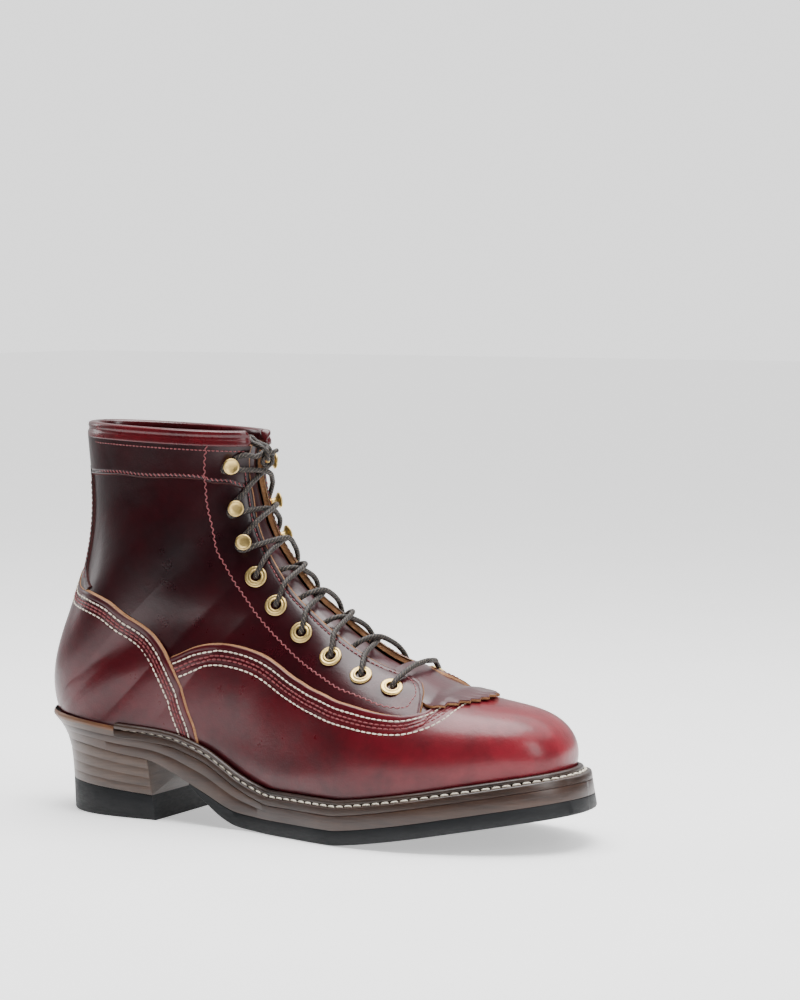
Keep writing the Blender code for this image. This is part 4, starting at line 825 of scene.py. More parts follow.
def laceHalf(side):
    # from the middle of the lowest bar: into the first hole, up inside, then out of each hole, over
    # the throat and under the other edge; at the hooks it goes behind the stem and back over
    orbit, level = lace["orbit"], lace["level"]
    row, out, _ = fastening(0, side)
    points = [over(row - 0.06, 0.0, 0.0066), over(row - 0.05, side * 0.010, 0.0062),
              over(row - 0.03, side * (out - 0.0100), 0.0052), over(row, side * (out - 0.0022), 0.0036),
              over(row, side * out, 0.0004), over(row + 0.05, side * (out + 0.0004), -0.0030)]
    row, out, _ = fastening(1, side)
    points += [over(row - 0.45, side * (out - 0.001), -0.0047), over(row - 0.10, side * out, -0.0042)]
    for n in range(1, 8):
        row, out, hooked = fastening(n, side)
        nextRow, nextOut, nextHooked = fastening(n + 1, -side)
        step = nextRow - row
        lift = lace["crossing"] if (side > 0) == (n % 2 == 1) else 0.0
        if not hooked:
            points += [over(row, side * out, -0.0008), over(row + 0.02 * step, side * (out - 0.0010), 0.0022),
                       over(row + 0.12 * step, side * (out - 0.0052), 0.0036)]
        edge = edgeAt(row + 0.3 * step, side)
        if not hooked or nextHooked:
            points += [over(row + 0.30 * step, side * (edge + 0.0015), 0.0028 + 0.4 * lift)]
        points += [over(row + 0.50 * step, 0.0, 0.0020 + lift)]
        if not nextHooked:
            edge = edgeAt(row + 0.78 * step, -side)
            points += [over(row + 0.66 * step, -side * edge * 0.55, 0.0014 + 0.5 * lift),
                       over(row + 0.78 * step, -side * (edge - 0.0008), -0.0016),
                       over(row + 0.88 * step, -side * (edge + 0.0050), -0.0047),
                       over(nextRow, -side * (nextOut - 0.0022), -0.0050)]
        else:
            points += [over(nextRow, -side * (nextOut - 0.0060), level + 0.0006 + 0.3 * lift, -0.0044),
                       over(nextRow, -side * (nextOut - 0.0010), level, -orbit),
                       over(nextRow, -side * (nextOut + 0.7 * orbit), level, -0.7 * orbit),
                       over(nextRow, -side * (nextOut + orbit), level, 0.0),
                       over(nextRow, -side * (nextOut + 0.7 * orbit), level, 0.7 * orbit),
                       over(nextRow, -side * (nextOut - 0.0006), level, orbit)]
            if n < 7:
                points += [over(nextRow, -side * (nextOut - 0.0058), level + 0.0008, orbit + 0.0014)]
        side = -side
    return relaxed(smoothPath(points, lace["step"]), 4)


laceNodes = {-1: ["lace_cross_%d" % (k + 1) for k in range(8)], 1: ["lace_bar"]}
for side in (-1, 1):
    item = braidTube("lace_from_%s" % sideName[side], laceHalf(side), lace["diameter"] / 2)
    finish(item, laceNodes[side])

# the knot is a trefoil, flat on the tongue
t = np.linspace(0, 2 * math.pi, 160, endpoint=False)
tied = np.stack([np.sin(t) + 2 * np.sin(2 * t), np.cos(t) - 2 * np.cos(2 * t), -np.sin(3 * t)], axis=1)
centre = over(knot["row"], knot["distance"], knot["height"])
outWay = unit(over(knot["row"], knot["distance"], knot["height"] + 0.001) - centre)
upWay = over(knot["row"] + 0.1, knot["distance"], knot["height"]) - centre
upWay = unit(np.cross(outWay, np.cross(upWay, outWay)))
axes = np.stack([np.cross(upWay, outWay) * knot["size"], upWay * knot["size"] * knot["tall"],
                 outWay * knot["deep"]])
tied = centre + tied @ axes
knotPath = smoothPath(np.concatenate([tied, tied[:1]]), lace["step"])
knotPiece = braidTube("lace_knot_loops", knotPath, lace["diameter"] / 2 - knot["thinner"])
finish(knotPiece, ("lace_knot",))

for side in (-1, 1):
    # from the top hook to the knot, over the collar's edge and down inside the tongue
    row, out, _ = fastening(8, side)
    lean = -0.0035 if side < 0 else 0.0012
    orbit, level = lace["orbit"], lace["level"]
    points = [over(row, side * (out - 0.0006), level, orbit),
              over(row, side * (out - 0.0058), level + 0.0008, orbit + 0.0012),
              over(row + 0.42, side * 0.0075, 0.0040), over(22.15, lean + side * 0.0022, 0.0046),
              over(22.6, lean, 0.0042), over(23.0, lean, 0.0022),
              over(23.0, lean, 0.0) + np.array((-0.0045, 0, 0.0012)),
              over(22.9, lean, -0.0085), over(22.2, lean, -0.0118), over(21.2, lean, -0.0126),
              over(19.9, lean, -0.0130)]
    path = relaxed(smoothPath(points, lace["step"]), 8)
    tail = braidTube("lace_tail_%s" % sideName[side], path, lace["diameter"] / 2)
    finish(tail, ("lace_end_%s" % sideName[side],))

vampEdge = {"row": (7.10, 7.30, 7.5, 7.9, 8.4, 9.5, 10.2, 10.9, 12.0, 12.6, 13.1, 13.5, 13.74, 14.2),
            "across": (0.0, 0.38, 0.43, 0.475, 0.485, 0.475, 0.452, 0.436, 0.441, 0.458, 0.488, 0.54, 0.605, 0.70)}
counterEdge = {"row": (12.05, 12.35, 12.60, 13.10, 13.70, 14.50, 15.20, 16.20, 17.55, 18.50, 19.60, 20.45, 21.02,
                       21.10),
               "across": (1.0, 0.905, 0.847, 0.733, 0.642, 0.578, 0.552, 0.534, 0.533, 0.583, 0.690, 0.830, 0.93,
                          1.0)}
tabEdge = {"row": (7.46, 7.62, 7.80, 8.15, 8.50, 8.90), "distance": (0.0350, 0.0275, 0.0212, 0.0148, 0.0142, 0.0155)}
# a panel's cut edge rounds off by "round" and slopes out by "slope"; a stitch row presses a groove
panel = {"slope": 0.0011, "round": 0.0006, "groove": 0.00028, "grooveWide": 0.0006, "middle": 20}
columnsNear = np.array((0, 0.15, 0.35, 0.6, 1.0, 1.5, 2.0, 2.5, 3.0, 3.6, 4.2, 4.8, 5.4, 6.0, 6.6, 7.3, 8.0, 8.8,
                        9.6, 10.4, 11.3, 12.4)) * 0.001


def panelMesh(low, high, out, thick, lowRows=(), highRows=(), middle=panel["middle"], rawLow=False, rawHigh=True,
              swell=None, slope=panel["slope"]):
    # a leather panel ruled between two lines of (row, across): its columns stand at set distances
    # from the edges and evenly between; stitch rows press soft grooves, cut edges round off and slope
    low, high = np.asarray(low, float), np.asarray(high, float)
    share = np.linspace(0, 1, 24)[None, :, None]
    ruled = look(skinGrid, *(low[:, None] * (1 - share) + high[:, None] * share).transpose(2, 0, 1))
    wide = np.maximum(np.linalg.norm(np.diff(ruled, axis=1), axis=2).sum(axis=1), 1e-5)[:, None]
    near = columnsNear[None, :] * np.minimum(1.0, 0.44 * wide / columnsNear[-1])
    inside = near[:, -1:] + (wide - 2 * near[:, -1:]) * np.linspace(0, 1, middle + 2)[None, 1:-1]
    away = np.concatenate([near, inside, wide - near[:, ::-1]], axis=1)
    t = (away / wide)[..., None]
    spots = low[:, None] * (1 - t) + high[:, None] * t
    lift = np.zeros(away.shape) + thick
    for fromLow, rows in ((away, lowRows), (wide - away, highRows)):
        for distance in rows:
            lift -= panel["groove"] * np.exp(-((fromLow - distance) / panel["grooveWide"]) ** 2)
    for raw, fromEdge in ((rawLow, away), (rawHigh, wide - away)):
        if raw:
            corner = np.clip(1 - fromEdge / panel["round"], 0, 1)
            lift -= panel["round"] * (1 - np.sqrt(1 - corner ** 2)) * 0.6
    base = np.broadcast_to(np.asarray(out, float), (len(low),))[:, None] + np.zeros(away.shape)
    if swell is not None:
        base = base + swell(spots[..., 0], spots[..., 1])
    top = leather(spots[..., 0], spots[..., 1], base + lift)
    bottom = leather(spots[..., 0], spots[..., 1], base)
    for raw, column, beside in ((rawLow, 0, 1), (rawHigh, -1, -2)):
        if raw:
            bottom[:, column] += slope * unit(look(skinGrid, spots[:, column, 0], spots[:, column, 1])
                                              - look(skinGrid, spots[:, beside, 0], spots[:, beside, 1]))
    return top, bottom


def bothSides(name, build, looks, nodes, underSlot=0):
    # the outer and inner halves of a panel, welded where they meet on the ridge or the back
    tops, bottoms, quads, count = [], [], [], 0
    for side in (-1, 1):
        top, bottom = build(side)
        faces = grid(*top.shape[:2], first=count)
        quads.append(faces if side < 0 else faces[:, ::-1])
        count += top.shape[0] * top.shape[1]
        tops.append(top.reshape(-1, 3))
        bottoms.append(bottom.reshape(-1, 3))
    item = shellMesh(name, np.concatenate(tops), np.concatenate(bottoms), np.concatenate(quads), looks,
                     wallSlot=1, underSlot=underSlot)
    return finish(turnOut(item), nodes)


def sideLine(rows, across, side):
    # points of (row, across) on one side
    return np.stack([np.asarray(rows, float), side * np.asarray(across, float)], axis=1)


def tableLine(rows, table, side):
    # a table's line on one side, read at rows
    return sideLine(rows, curve(table, "across", rows, "row"), side)


def throatAcross(rows, side):
    # the across value of the throat's edge; closed in front of its end
    distance = np.where(rows <= 7.7, 0.0, curve(throat, sideName[side], rows, "row"))
    return np.abs(fromRidge(rows, distance, side))


def shellHalf(side):
    # the upper's own shell: lining inside, raw edge round the throat and the collar
    rows = np.concatenate([np.linspace(0, 7.6, 90), np.linspace(7.7, 8.6, 24), np.linspace(8.7, 23, 160)])
    high = sideLine(rows, throatAcross(rows, side), side)
    low = sideLine(rows, np.ones(len(rows)), side)
    share = np.linspace(0, 1, 40)[None, :, None]
    spots = low[:, None] * (1 - share) + high[:, None] * share
    top = leather(spots[..., 0], spots[..., 1], -0.0002)
    return top, leather(spots[..., 0], spots[..., 1], -boot["wall"])


bothSides("upper_shell", shellHalf, [shaftLook, rawLook, liningLook], ("upper",), underSlot=2)

# the quarter: thin on the shaft, at full thickness where its rounded front end shows
quarter = {"thick": 0.0005, "front": 0.0011, "frontRow": 9.2, "frontRows": 1.2, "slope": 0.0006, "swell": 0.0019,
           "medialTab": 0.88, "tuck": 0.035,
           "rows": np.concatenate([np.linspace(7.46, 8.9, 60), np.linspace(8.95, 13.7, 90),
                                   np.linspace(13.75, 21.0, 110), np.linspace(21.03, 23, 34)])}


def ridgeSwell(side):
    # the quarter rises over the false tongue where its rounded front end lies on it
    def rise(row, across):
        distance = np.abs(across) * np.interp(row, gridRows, halfGirths[side])
        return quarter["swell"] * ease((9.6 - row) / 1.7) * ease((0.036 - distance) / 0.016)
    return rise


def frontMore(row):
    # what the quarter's front end adds to its thickness
    return quarter["front"] * np.clip((quarter["frontRow"] - row) / quarter["frontRows"], 0, 1)


def quarterHalf(side):
    # from under the vamp and the counter up to the rounded tab and the throat's edge
    rows = quarter["rows"]
    tab = np.abs(fromRidge(rows, curve(tabEdge, "distance", rows, "row"), side))
    if side > 0:
        tab = tab * quarter["medialTab"]
    mix = np.clip((rows - 8.4) / 0.5, 0, 1)
    high = tab * (1 - mix) + throatAcross(rows, side) * mix
    under = np.where(rows < 13.74, curve(vampEdge, "across", rows, "row"),
                     curve(counterEdge, "across", rows, "row"))
    low = np.where(rows > 21.02, 1.0, np.minimum(under + quarter["tuck"], 1.0))
    low = np.maximum(low, high + 0.01)
    more = frontMore(rows)[:, None]
    return panelMesh(sideLine(rows, low, side), sideLine(rows, high, side), 0.0, quarter["thick"] + more,
                     highRows=(0.0026,), swell=ridgeSwell(side), slope=quarter["slope"] + more)


bothSides("quarter", quarterHalf, [shaftLook, rawLook], ())

# stitch rows as distances in from the cut edge: white, two reds, white
rowsIn = {"vamp": (0.0026, 0.0050, 0.0068, 0.0096), "counter": (0.0030, 0.0050, 0.0066, 0.0086)}


def vampEdgeLine(side, count=220, last=13.80):
    # from the ridge under the false tongue, round and back along the edge
    rows = np.concatenate([np.linspace(7.10, 7.5, 60), np.linspace(7.5, last, 200)])
    return evenLine(tableLine(rows, vampEdge, side), count)


def vampHalf(side):
    edge = vampEdgeLine(side)
    ridge = sideLine(np.linspace(0, 7.09, 90), np.zeros(90), side)
    high = np.concatenate([ridge, edge])
    part = np.linspace(0, 1, 220)
    back = np.interp(part, (0, 0.16, 0.28, 0.45, 0.75, 1.0), (5.6, 6.8, 7.6, 9.2, 11.5, 13.70))
    rows = np.concatenate([np.linspace(0, 5.55, 90), back])
    under = np.where(rows >= 12.05, curve(counterEdge, "across", rows, "row"), 1.0)
    low = sideLine(rows, np.maximum(np.minimum(under + 0.02, 1.0), np.abs(high[:, 1]) + 0.006), side)
    # plain along the ridge, with a cut edge and grooves from its front end on
    mix = np.clip((np.arange(310) - 88) / 3, 0, 1)[:, None, None]
    cut = panelMesh(low, high, boot["overlayGap"], boot["overlay"], highRows=rowsIn["vamp"])
    plain = panelMesh(low, high, boot["overlayGap"], boot["overlay"], rawHigh=False)
    return [a * (1 - mix) + b * mix for a, b in zip(plain, cut)]


bothSides("vamp_panel", vampHalf, [oxbloodLook, rawLook], ("vamp",))


def counterEdgeLine(side, count=200):
    # a smooth line through the table's points in space, found again on the leather
    keys = sideLine(counterEdge["row"], counterEdge["across"], side)
    path = smoothPath(leather(keys[:, 0], keys[:, 1]), 0.0004)
    rows = np.interp(np.linspace(0, 1, 500), np.linspace(0, 1, len(keys)), keys[:, 0])
    guess = tableLine(rows, counterEdge, side)
    near = nearestRing(path, leather(guess[:, 0], guess[:, 1]))
    pick = np.linspace(0, len(path) - 1, count).astype(int)
    return findSpots(relaxed(path, 40), guess[near])[pick]


def counterOut(rows):
    # the counter lies on the upper, and rises where its front edge laps over the vamp
    return boot["overlayGap"] + 0.0001 + 0.0011 * ease((15.0 - rows) / 1.1)


def counterHalf(side):
    high = counterEdgeLine(side)
    low = sideLine(np.interp(np.linspace(0, 1, len(high)), (0, 0.55, 1.0), (12.05, 17.0, 21.10)),
                   np.ones(len(high)), side)
    return panelMesh(low, high, counterOut(high[:, 0]), boot["overlay"], highRows=rowsIn["counter"])


bothSides("counter_panel", counterHalf, [oxbloodLook, rawLook], ("counter",))

# the back stay runs up the back under the collar band
backstay = {"out": 0.0004, "thick": 0.0013, "seamIn": 0.0022}
backEdge = {"row": (20.0, 20.6, 21.02, 21.5, 22.2, 22.7), "across": (0.725, 0.800, 0.845, 0.862, 0.872, 0.880)}


def backstayHalf(side):
    # from the back seam, or just under the counter's edge, out to its own edge
    rows = np.linspace(20.02, 22.6, 90)
    high = tableLine(rows, backEdge, side)
    under = np.where(rows < 21.02, curve(counterEdge, "across", rows, "row") + 0.03, 1.0)
    low = sideLine(rows, np.clip(under, np.abs(high[:, 1]) + 0.01, 1.0), side)
    return panelMesh(low, high, backstay["out"], backstay["thick"], highRows=(backstay["seamIn"],), middle=10)


bothSides("back_stay", backstayHalf, [shaftLook, darkEdgeLook], ("backstay",))

# the collar band: its lower edge is the level seam, its upper edge the collar; it is thicker at the
# back, over the back stay
band = {"out": 0.0003, "thick": 0.0007, "backMore": 0.0006, "seamIn": 0.0016, "first": 0.067}
bandSeam = {"across": (0.067, 0.125, 0.217, 0.258, 0.392, 0.525, 0.675, 0.892, 1.0),
            "row": (18.55, 19.75, 20.90, 21.35, 21.95, 22.20, 22.40, 22.50, 22.52)}


def bandLine(side, count):
    # points stand closer together at the steep front end
    at = band["first"] + (1 - band["first"]) * np.linspace(0, 1, count) ** 1.4
    return np.stack([curve(bandSeam, "row", at, "across"), side * at], axis=1)


def bandHalf(side):
    # from the level seam up to the collar's edge
    way = np.linspace(0, 1, 150)
    top = throatAcross(np.array([23.0]), side)[0]
    high = sideLine(np.full(150, 23.0), top + 0.006 + (1 - top - 0.006) * way ** 1.05, side)
    thick = band["thick"] + band["backMore"] * np.clip((way - 0.75) / 0.1, 0, 1)[:, None]
    return panelMesh(bandLine(side, 150), high, band["out"], thick, lowRows=(band["seamIn"],), rawLow=True,
                     rawHigh=False)


bothSides("collar_band", bandHalf, [shaftLook, darkEdgeLook], ())

tongue = {"thick": 0.0022, "sink": 0.0031, "sideSink": 0.0034, "wave": 0.0004, "wider": 0.0105, "tip": 0.0006}


def tongueHalf(side):
    # the tongue lies inside the throat, flatter than the upper, a little lower toward its sides
    rows = np.linspace(7.9, 22.75, 150)
    distance = np.abs(fromRidge(rows, curve(throat, sideName[side], rows, "row") + tongue["wider"], side))
    toSide = 1 - np.linspace(0, 1, 26)[None, :]
    across = side * distance[:, None] * toSide
    sink = (-tongue["sink"] - tongue["sideSink"] * toSide ** 1.6
            - tongue["wave"] * np.sin(rows[:, None] * 2.1) * toSide)
    edge = np.clip((rows - 22.45) / 0.3, 0, 1)[:, None] ** 2 * tongue["tip"]
    return leather(rows[:, None], across, sink - edge), leather(rows[:, None], across, sink - tongue["thick"])


bothSides("tongue_leather", tongueHalf, [kiltieLook, rawLook, liningLook], ("tongue",), underSlot=2)

# the false tongue: pinked into teeth in front, lifting off the vamp a little, held under the
# quarters behind
kiltie = {"teeth": 11, "half": 0.0285, "tooth": 0.150, "front": 6.10, "bow": 0.98, "back": 8.9, "thick": 0.0016,
          "curl": 0.0014, "overVamp": 0.0024, "wave": 0.0003, "bevel": 0.0004}


def kiltieShape():
    # rows run from the toothed front edge to the back; the sheet rises over the vamp and curls up
    across = np.linspace(-1, 1, kiltie["teeth"] * 24 + 1)
    phase = (np.linspace(0, kiltie["teeth"], len(across)) + 0.5) % 1.0
    tooth = kiltie["tooth"] * (1 - np.abs(2 * phase - 1)) ** 0.8
    front = kiltie["front"] + kiltie["bow"] * np.abs(across) ** 1.7 + tooth
    share = np.concatenate([np.array((0, 0.004, 0.012, 0.03)), np.linspace(0.05, 1, 46)])[:, None]
    rows = front + (kiltie["back"] - front) * share
    half = np.interp(rows, (6.0, 7.3, 7.7, 8.2, 8.9), (kiltie["half"], kiltie["half"], 0.0262, 0.0205, 0.0160))
    distance = across * half
    spot = np.where(distance < 0, fromRidge(rows, -distance, -1), fromRidge(rows, distance, 1))
    curl = kiltie["curl"] * np.clip((0.22 - share) / 0.22, 0, 1) ** 2 * (0.6 + 0.4 * np.cos(across * 5.0))
    wave = kiltie["wave"] * np.sin(across * 9.0 + 1.0) * np.clip((0.5 - share) / 0.5, 0, 1)
    out = 0.0002 + ease((7.55 - rows) / 0.5) * kiltie["overVamp"] + curl + wave
    bevel = kiltie["bevel"] * np.clip(1 - share / 0.012, 0, 1)
    return leather(rows, spot, out + kiltie["thick"] - bevel), leather(rows, spot, out)


kiltieTop, kiltieBottom = kiltieShape()
finish(turnOut(shellMesh("false_tongue_leather", kiltieTop, kiltieBottom, grid(*kiltieTop.shape[:2]),
                         [kiltieLook, rawLook, rawLook], wallSlot=1, underSlot=2)), ("false_tongue",))

# the rolled binding's section, in shares of its half width and height: two soft ridges
roll = {"out": (0.40, 0.96, 1.05, 1.02, 0.84, 0.80, 0.92, 0.84, 0.45, -0.10, -0.65, -0.98, -1.05, -1.00, -0.98, -0.90,
                -0.40),
        "up": (-0.24, -0.24, -0.08, 0.16, 0.34, 0.46, 0.70, 0.90, 1.00, 1.03, 0.98, 0.84, 0.60, 0.30, 0.00, -0.22,
               -0.24)}
rollEnds = 0.0030  # over this length the ends round down at the throat


def collarRoll():
    # the section carried round the collar's edge, square to it in plan
    ends = [float(throatAcross(np.array([23.0]), side)[0]) for side in (-1, 1)]
    across = np.concatenate([np.linspace(-ends[0], -1.0, 110), np.linspace(1.0, ends[1], 110)[1:]])
    middle = leather(23.0, across, -boot["wall"] / 2)
    outward = look(skinNormals, np.full(len(across), 23.0), across)
    outward[:, 2] = 0
    outward = unit(outward)
    count = len(roll["out"])
    fine = np.linspace(0, count, 64, endpoint=False)
    out, up = [curve({"share": np.arange(count + 1), "v": roll[key] + roll[key][:1]}, "v", fine)[None, :]
               for key in ("out", "up")]
    run = runOf(middle)
    size = np.sqrt(np.clip(np.minimum(run, run[-1] - run) / rollEnds, 0.02, 1.0))[:, None]
    points = middle[:, None] + outward[:, None] * (boot["rollWidth"] / 2 * out * size)[..., None]
    points[..., 2] += 2 * boot["gap"] + boot["rollHeight"] * up * size
    return points


finish(turnOut(sweepMesh("collar_binding", collarRoll(), [bindingLook], smoothAngle=70)), ("collar_roll",))
print("boot: leather panels cut")

# stitches: each one a small capsule of a few dozen faces, all of a colour joined in one mesh
capsule = {"at": (-1.0, -0.86, -0.45, 0.45, 0.86, 1.0), "wide": (0.02, 0.62, 1.0, 1.0, 0.62, 0.02),
           "up": (-0.9, -0.25, 0.0, 0.0, -0.25, -0.9)}


def stitchMesh(name, sets, thread):
    # sets of (places, directions, normals, length, width, height): six rings of six points along
    # each direction, drawn in and down at both ends
    at, wide, up6 = [np.array(capsule[key])[None, :, None, None] for key in ("at", "wide", "up")]
    a = np.linspace(0, 2 * math.pi, 6, endpoint=False)[None, None, :, None]
    caps = np.array([[0, 1, 2, 3], [0, 3, 4, 5], [33, 32, 31, 30], [35, 34, 33, 30]])
    one = np.concatenate([grid(6, 6, closedColumn=True), caps])
    points = []
    for place, along, up, length, width, high in sets:
        along = unit(along)
        aside = unit(np.cross(up, along))
        up = np.cross(along, aside)
        body = (place[:, None, None] + along[:, None, None] * (at * (length / 2))
                + aside[:, None, None] * (wide * np.cos(a) * width / 2)
                + up[:, None, None] * (wide * np.sin(a) * high / 2 + up6 * high * 0.5))
        points.append(body.reshape(-1, 3))
    points = np.concatenate(points)
    quads = (one[None] + (np.arange(len(points) // 36) * 36)[:, None, None]).reshape(-1, 4)
    finish(turnOut(makeMesh(name, points, quads, [thread], smoothAngle=80)), ())


def onLine(points, ups, pitch, length, width, high, slant=0.0, zigzag=0.0):
    # places along a line of points at an even pitch, turned by slant, or swung from side to side
    run = runOf(points)
    count = max(int(run[-1] / pitch), 1)
    at = (np.arange(count) + 0.5) * run[-1] / count
    up = unit(readAt(at, run, ups))
    ahead = unit(readAt(at + pitch * 0.3, run, points) - readAt(at - pitch * 0.3, run, points))
    turned = (zigzag * np.where(np.arange(count) % 2, 1.0, -1.0) if zigzag else np.full(count, slant))[:, None]
    ahead = ahead * np.cos(turned) + np.cross(up, ahead) * np.sin(turned)
    return readAt(at, run, points), ahead, up, length, width, high


def stitchLine(spots, out, pitch=0.0030, length=0.0027, width=0.0008, high=0.0006, **more):
    # stitches along a line of (row, across) at a height over the leather surface
    points = leather(spots[:, 0], spots[:, 1], out)
    return onLine(points, look(skinNormals, spots[:, 0], spots[:, 1]), pitch, length, width, high, **more)


# the facing's seam is a tight zigzag from the collar down and round the quarter's front end
facing = {"row": (22.95, 20.75, 19.25, 17.75, 15.95, 14.75, 13.7, 12.75, 11.85, 11.2, 10.5, 9.8, 8.85, 8.4, 8.0),
          "distance": (0.0322, 0.0335, 0.0342, 0.0344, 0.0350, 0.0338, 0.0338, 0.0345, 0.0362, 0.0376, 0.0388,
                       0.0402, 0.0402, 0.0393, 0.0365)}
tabSeam = {"row": (8.0, 7.86, 7.86, 8.05, 8.42, 9.0), "distance": (0.0365, 0.0330, 0.0275, 0.0215, 0.0178, 0.0182)}
fine = {"width": 0.0006, "high": 0.0005}
seams = {"facing": dict(pitch=0.00165, length=0.0021, zigzag=0.62, **fine),
         "tab": dict(pitch=0.0024, length=0.0020, **fine), "throat": dict(pitch=0.0026, length=0.0021, **fine),
         "band": dict(pitch=0.0024, length=0.0022, **fine), "collar": dict(pitch=0.0022, length=0.0017, **fine)}
overlayTop = boot["overlayGap"] + boot["overlay"]
bandTop = 0.0011
seamIn = 0.0006  # a row of stitches lies this much further in than its groove


def quarterTop(spots, side):
    # height of the quarter's face over the leather surface
    return ridgeSwell(side)(spots[:, 0], spots[:, 1]) + (quarter["thick"] + frontMore(spots[:, 0]))


def ridgeSeam(table, side, medial, steps, count):
    # a seam given by row and distance from the ridge; medial narrows it on the inner side
    key = np.linspace(0, 1, len(table["row"]))
    row, distance = [curve({"share": key, "v": table[name]}, "v", np.linspace(0, 1, steps))
                     for name in ("row", "distance")]
    return evenLine(np.stack([row, fromRidge(row, distance * (medial if side > 0 else 1.0), side)], axis=1), count)


white, red, rose = [], [], []
for side in (-1, 1):
    edge = vampEdgeLine(side, 260, 14.2)
    edge = edge[(edge[:, 0] > 7.14) | (np.abs(edge[:, 1]) > 0.2)]
    for distance, thread in zip(rowsIn["vamp"], (white, red, red, white)):
        spots = shift(edge, distance + seamIn, side)
        away = np.abs(spots[:, 1])
        covered = (spots[:, 0] > 12.0) & (away > curve(counterEdge, "across", spots[:, 0], "row") - 0.004)
        thread.append(stitchLine(spots[(away < 1.0) & ~covered], overlayTop + 0.00002))
    edge = counterEdgeLine(side, 260)[4:-6]
    for distance, thread in zip(rowsIn["counter"], (white, red, red, white)):
        spots = shift(edge, distance + seamIn, side)
        spots = spots[np.abs(spots[:, 1]) < 0.995]
        thread.append(stitchLine(spots, counterOut(spots[:, 0]) + boot["overlay"] + 0.00002))
    rows = np.linspace(20.6, 22.4, 160)
    spots = shift(tableLine(rows, backEdge, side), backstay["seamIn"], side)
    red.append(stitchLine(spots, 0.0018, **seams["throat"]))
    spots = ridgeSeam(facing, side, 0.94, 300, 500)
    overBand = spots[:, 0] > np.interp(np.abs(spots[:, 1]), bandSeam["across"], bandSeam["row"])
    swell = ridgeSwell(side)(spots[:, 0], spots[:, 1])
    thick = np.where(overBand, bandTop, quarter["thick"] + frontMore(spots[:, 0]))
    rose.append(stitchLine(spots, swell + thick + 0.0001, **seams["facing"]))
    spots = ridgeSeam(tabSeam, side, 0.9, 120, 160)
    rose.append(stitchLine(spots, quarterTop(spots, side) + 0.0001, **seams["tab"]))
    rows = np.linspace(9.0, 22.9, 400)
    spots = shift(sideLine(rows, throatAcross(rows, side), side), 0.0026, side)
    rose.append(stitchLine(spots, quarter["thick"] + 0.0001, **seams["throat"]))
    spots = shift(evenLine(bandLine(side, 300), 300), -0.0014, side)
    rose.append(stitchLine(spots, bandTop, slant=0.75 * side, **seams["band"]))
    top = throatAcross(np.array([23.0]), side)[0]
    spots = shift(sideLine(np.full(300, 23.0), np.linspace(top + 0.03, 1.0, 300), side), 0.0030, side)
    rose.append(stitchLine(spots[:-3], bandTop, **seams["collar"]))
stitchMesh("white_stitches", white, whiteThread)
stitchMesh("red_stitches", red, redThread)
stitchMesh("rose_stitches", rose, roseThread)
print("boot: seams sewn")

# brass: rolled-rim eyelets, and hooks with a dished head on a trumpet stem, as radius and height in
# millimetres
eyeletShape = {"r": (5.60, 5.62, 5.45, 5.00, 4.50, 4.15, 3.95, 3.60, 3.20, 2.85, 2.62, 2.58, 2.58, 2.95, 2.95, 4.8),
               "h": (-0.05, 0.30, 0.62, 0.86, 0.88, 0.74, 0.72, 0.98, 1.14, 1.08, 0.80, 0.30, -2.90, -2.90, -0.05,
                     -0.05)}
hookShape = {"r": (0.0, 1.4, 2.5, 3.05, 3.55, 3.95, 4.10, 4.00, 3.55, 2.80, 2.15, 1.80, 1.66, 1.64, 1.80, 2.25,
                   2.95, 3.20, 3.20, 0.0),
             "h": (6.15, 6.18, 6.26, 6.52, 6.60, 6.42, 6.05, 5.72, 5.40, 4.95, 4.40, 3.80, 3.10, 2.20, 1.45, 0.85,
                   0.40, 0.22, 0.0, 0.0)}
fitting = {"sides": 40, "sunk": 0.0003, "clear": 0.0005}


def seatOf(row, distance, side, radius):
    # a flat fitting's place: clear of the leather all round its rim, and its outward normal
    across = float(fromRidge(row, distance, side))
    thick = float(ridgeSwell(side)(row, across)) + quarter["thick"] + float(frontMore(row)) - fitting["sunk"]
    at = leather(row, across, thick)
    normal = unit(look(skinNormals, row, across))
    turn = np.linspace(0, 2 * math.pi, 13)[:-1]
    rim = leather(row + radius * np.sin(turn) / np.linalg.norm(look(rowWay, row, across)),
                  fromRidge(row, distance + radius * np.cos(turn), side), thick)
    return at + normal * (max(0.0, float(((rim - at) @ normal).max())) + fitting["clear"]), normal


def lathe(node, shape, row, distance, side):
    # a turned profile round the seat's normal
    r, h = [np.array(shape[key])[:, None, None] * 0.001 for key in ("r", "h")]
    at, normal = seatOf(row, distance, side, float(r.max()))
    first = unit(np.cross(normal, (0.0, 0.0, 1.0)))
    second = np.cross(normal, first)
    a = np.linspace(0, 2 * math.pi, fitting["sides"], endpoint=False)[None, :, None]
    points = at + first * (r * np.cos(a)) + second * (r * np.sin(a)) + normal * h
    quads = grid(len(r), fitting["sides"], closedRow=shape["r"][0] > 0, closedColumn=True)
    finish(turnOut(makeMesh(node + "_brass", points, quads, [brassLook], smoothAngle=50)), (node,))


for side in (-1, 1):
    for kind, shape, table in (("eyelet", eyeletShape, eyelets), ("hook", hookShape, hooks)):
        for k, row in enumerate(table["row"]):
            lathe("%s_%s_%d" % (kind, sideName[side], k + 1), shape, row, table[sideName[side]][k], side)
print("boot: brass set")

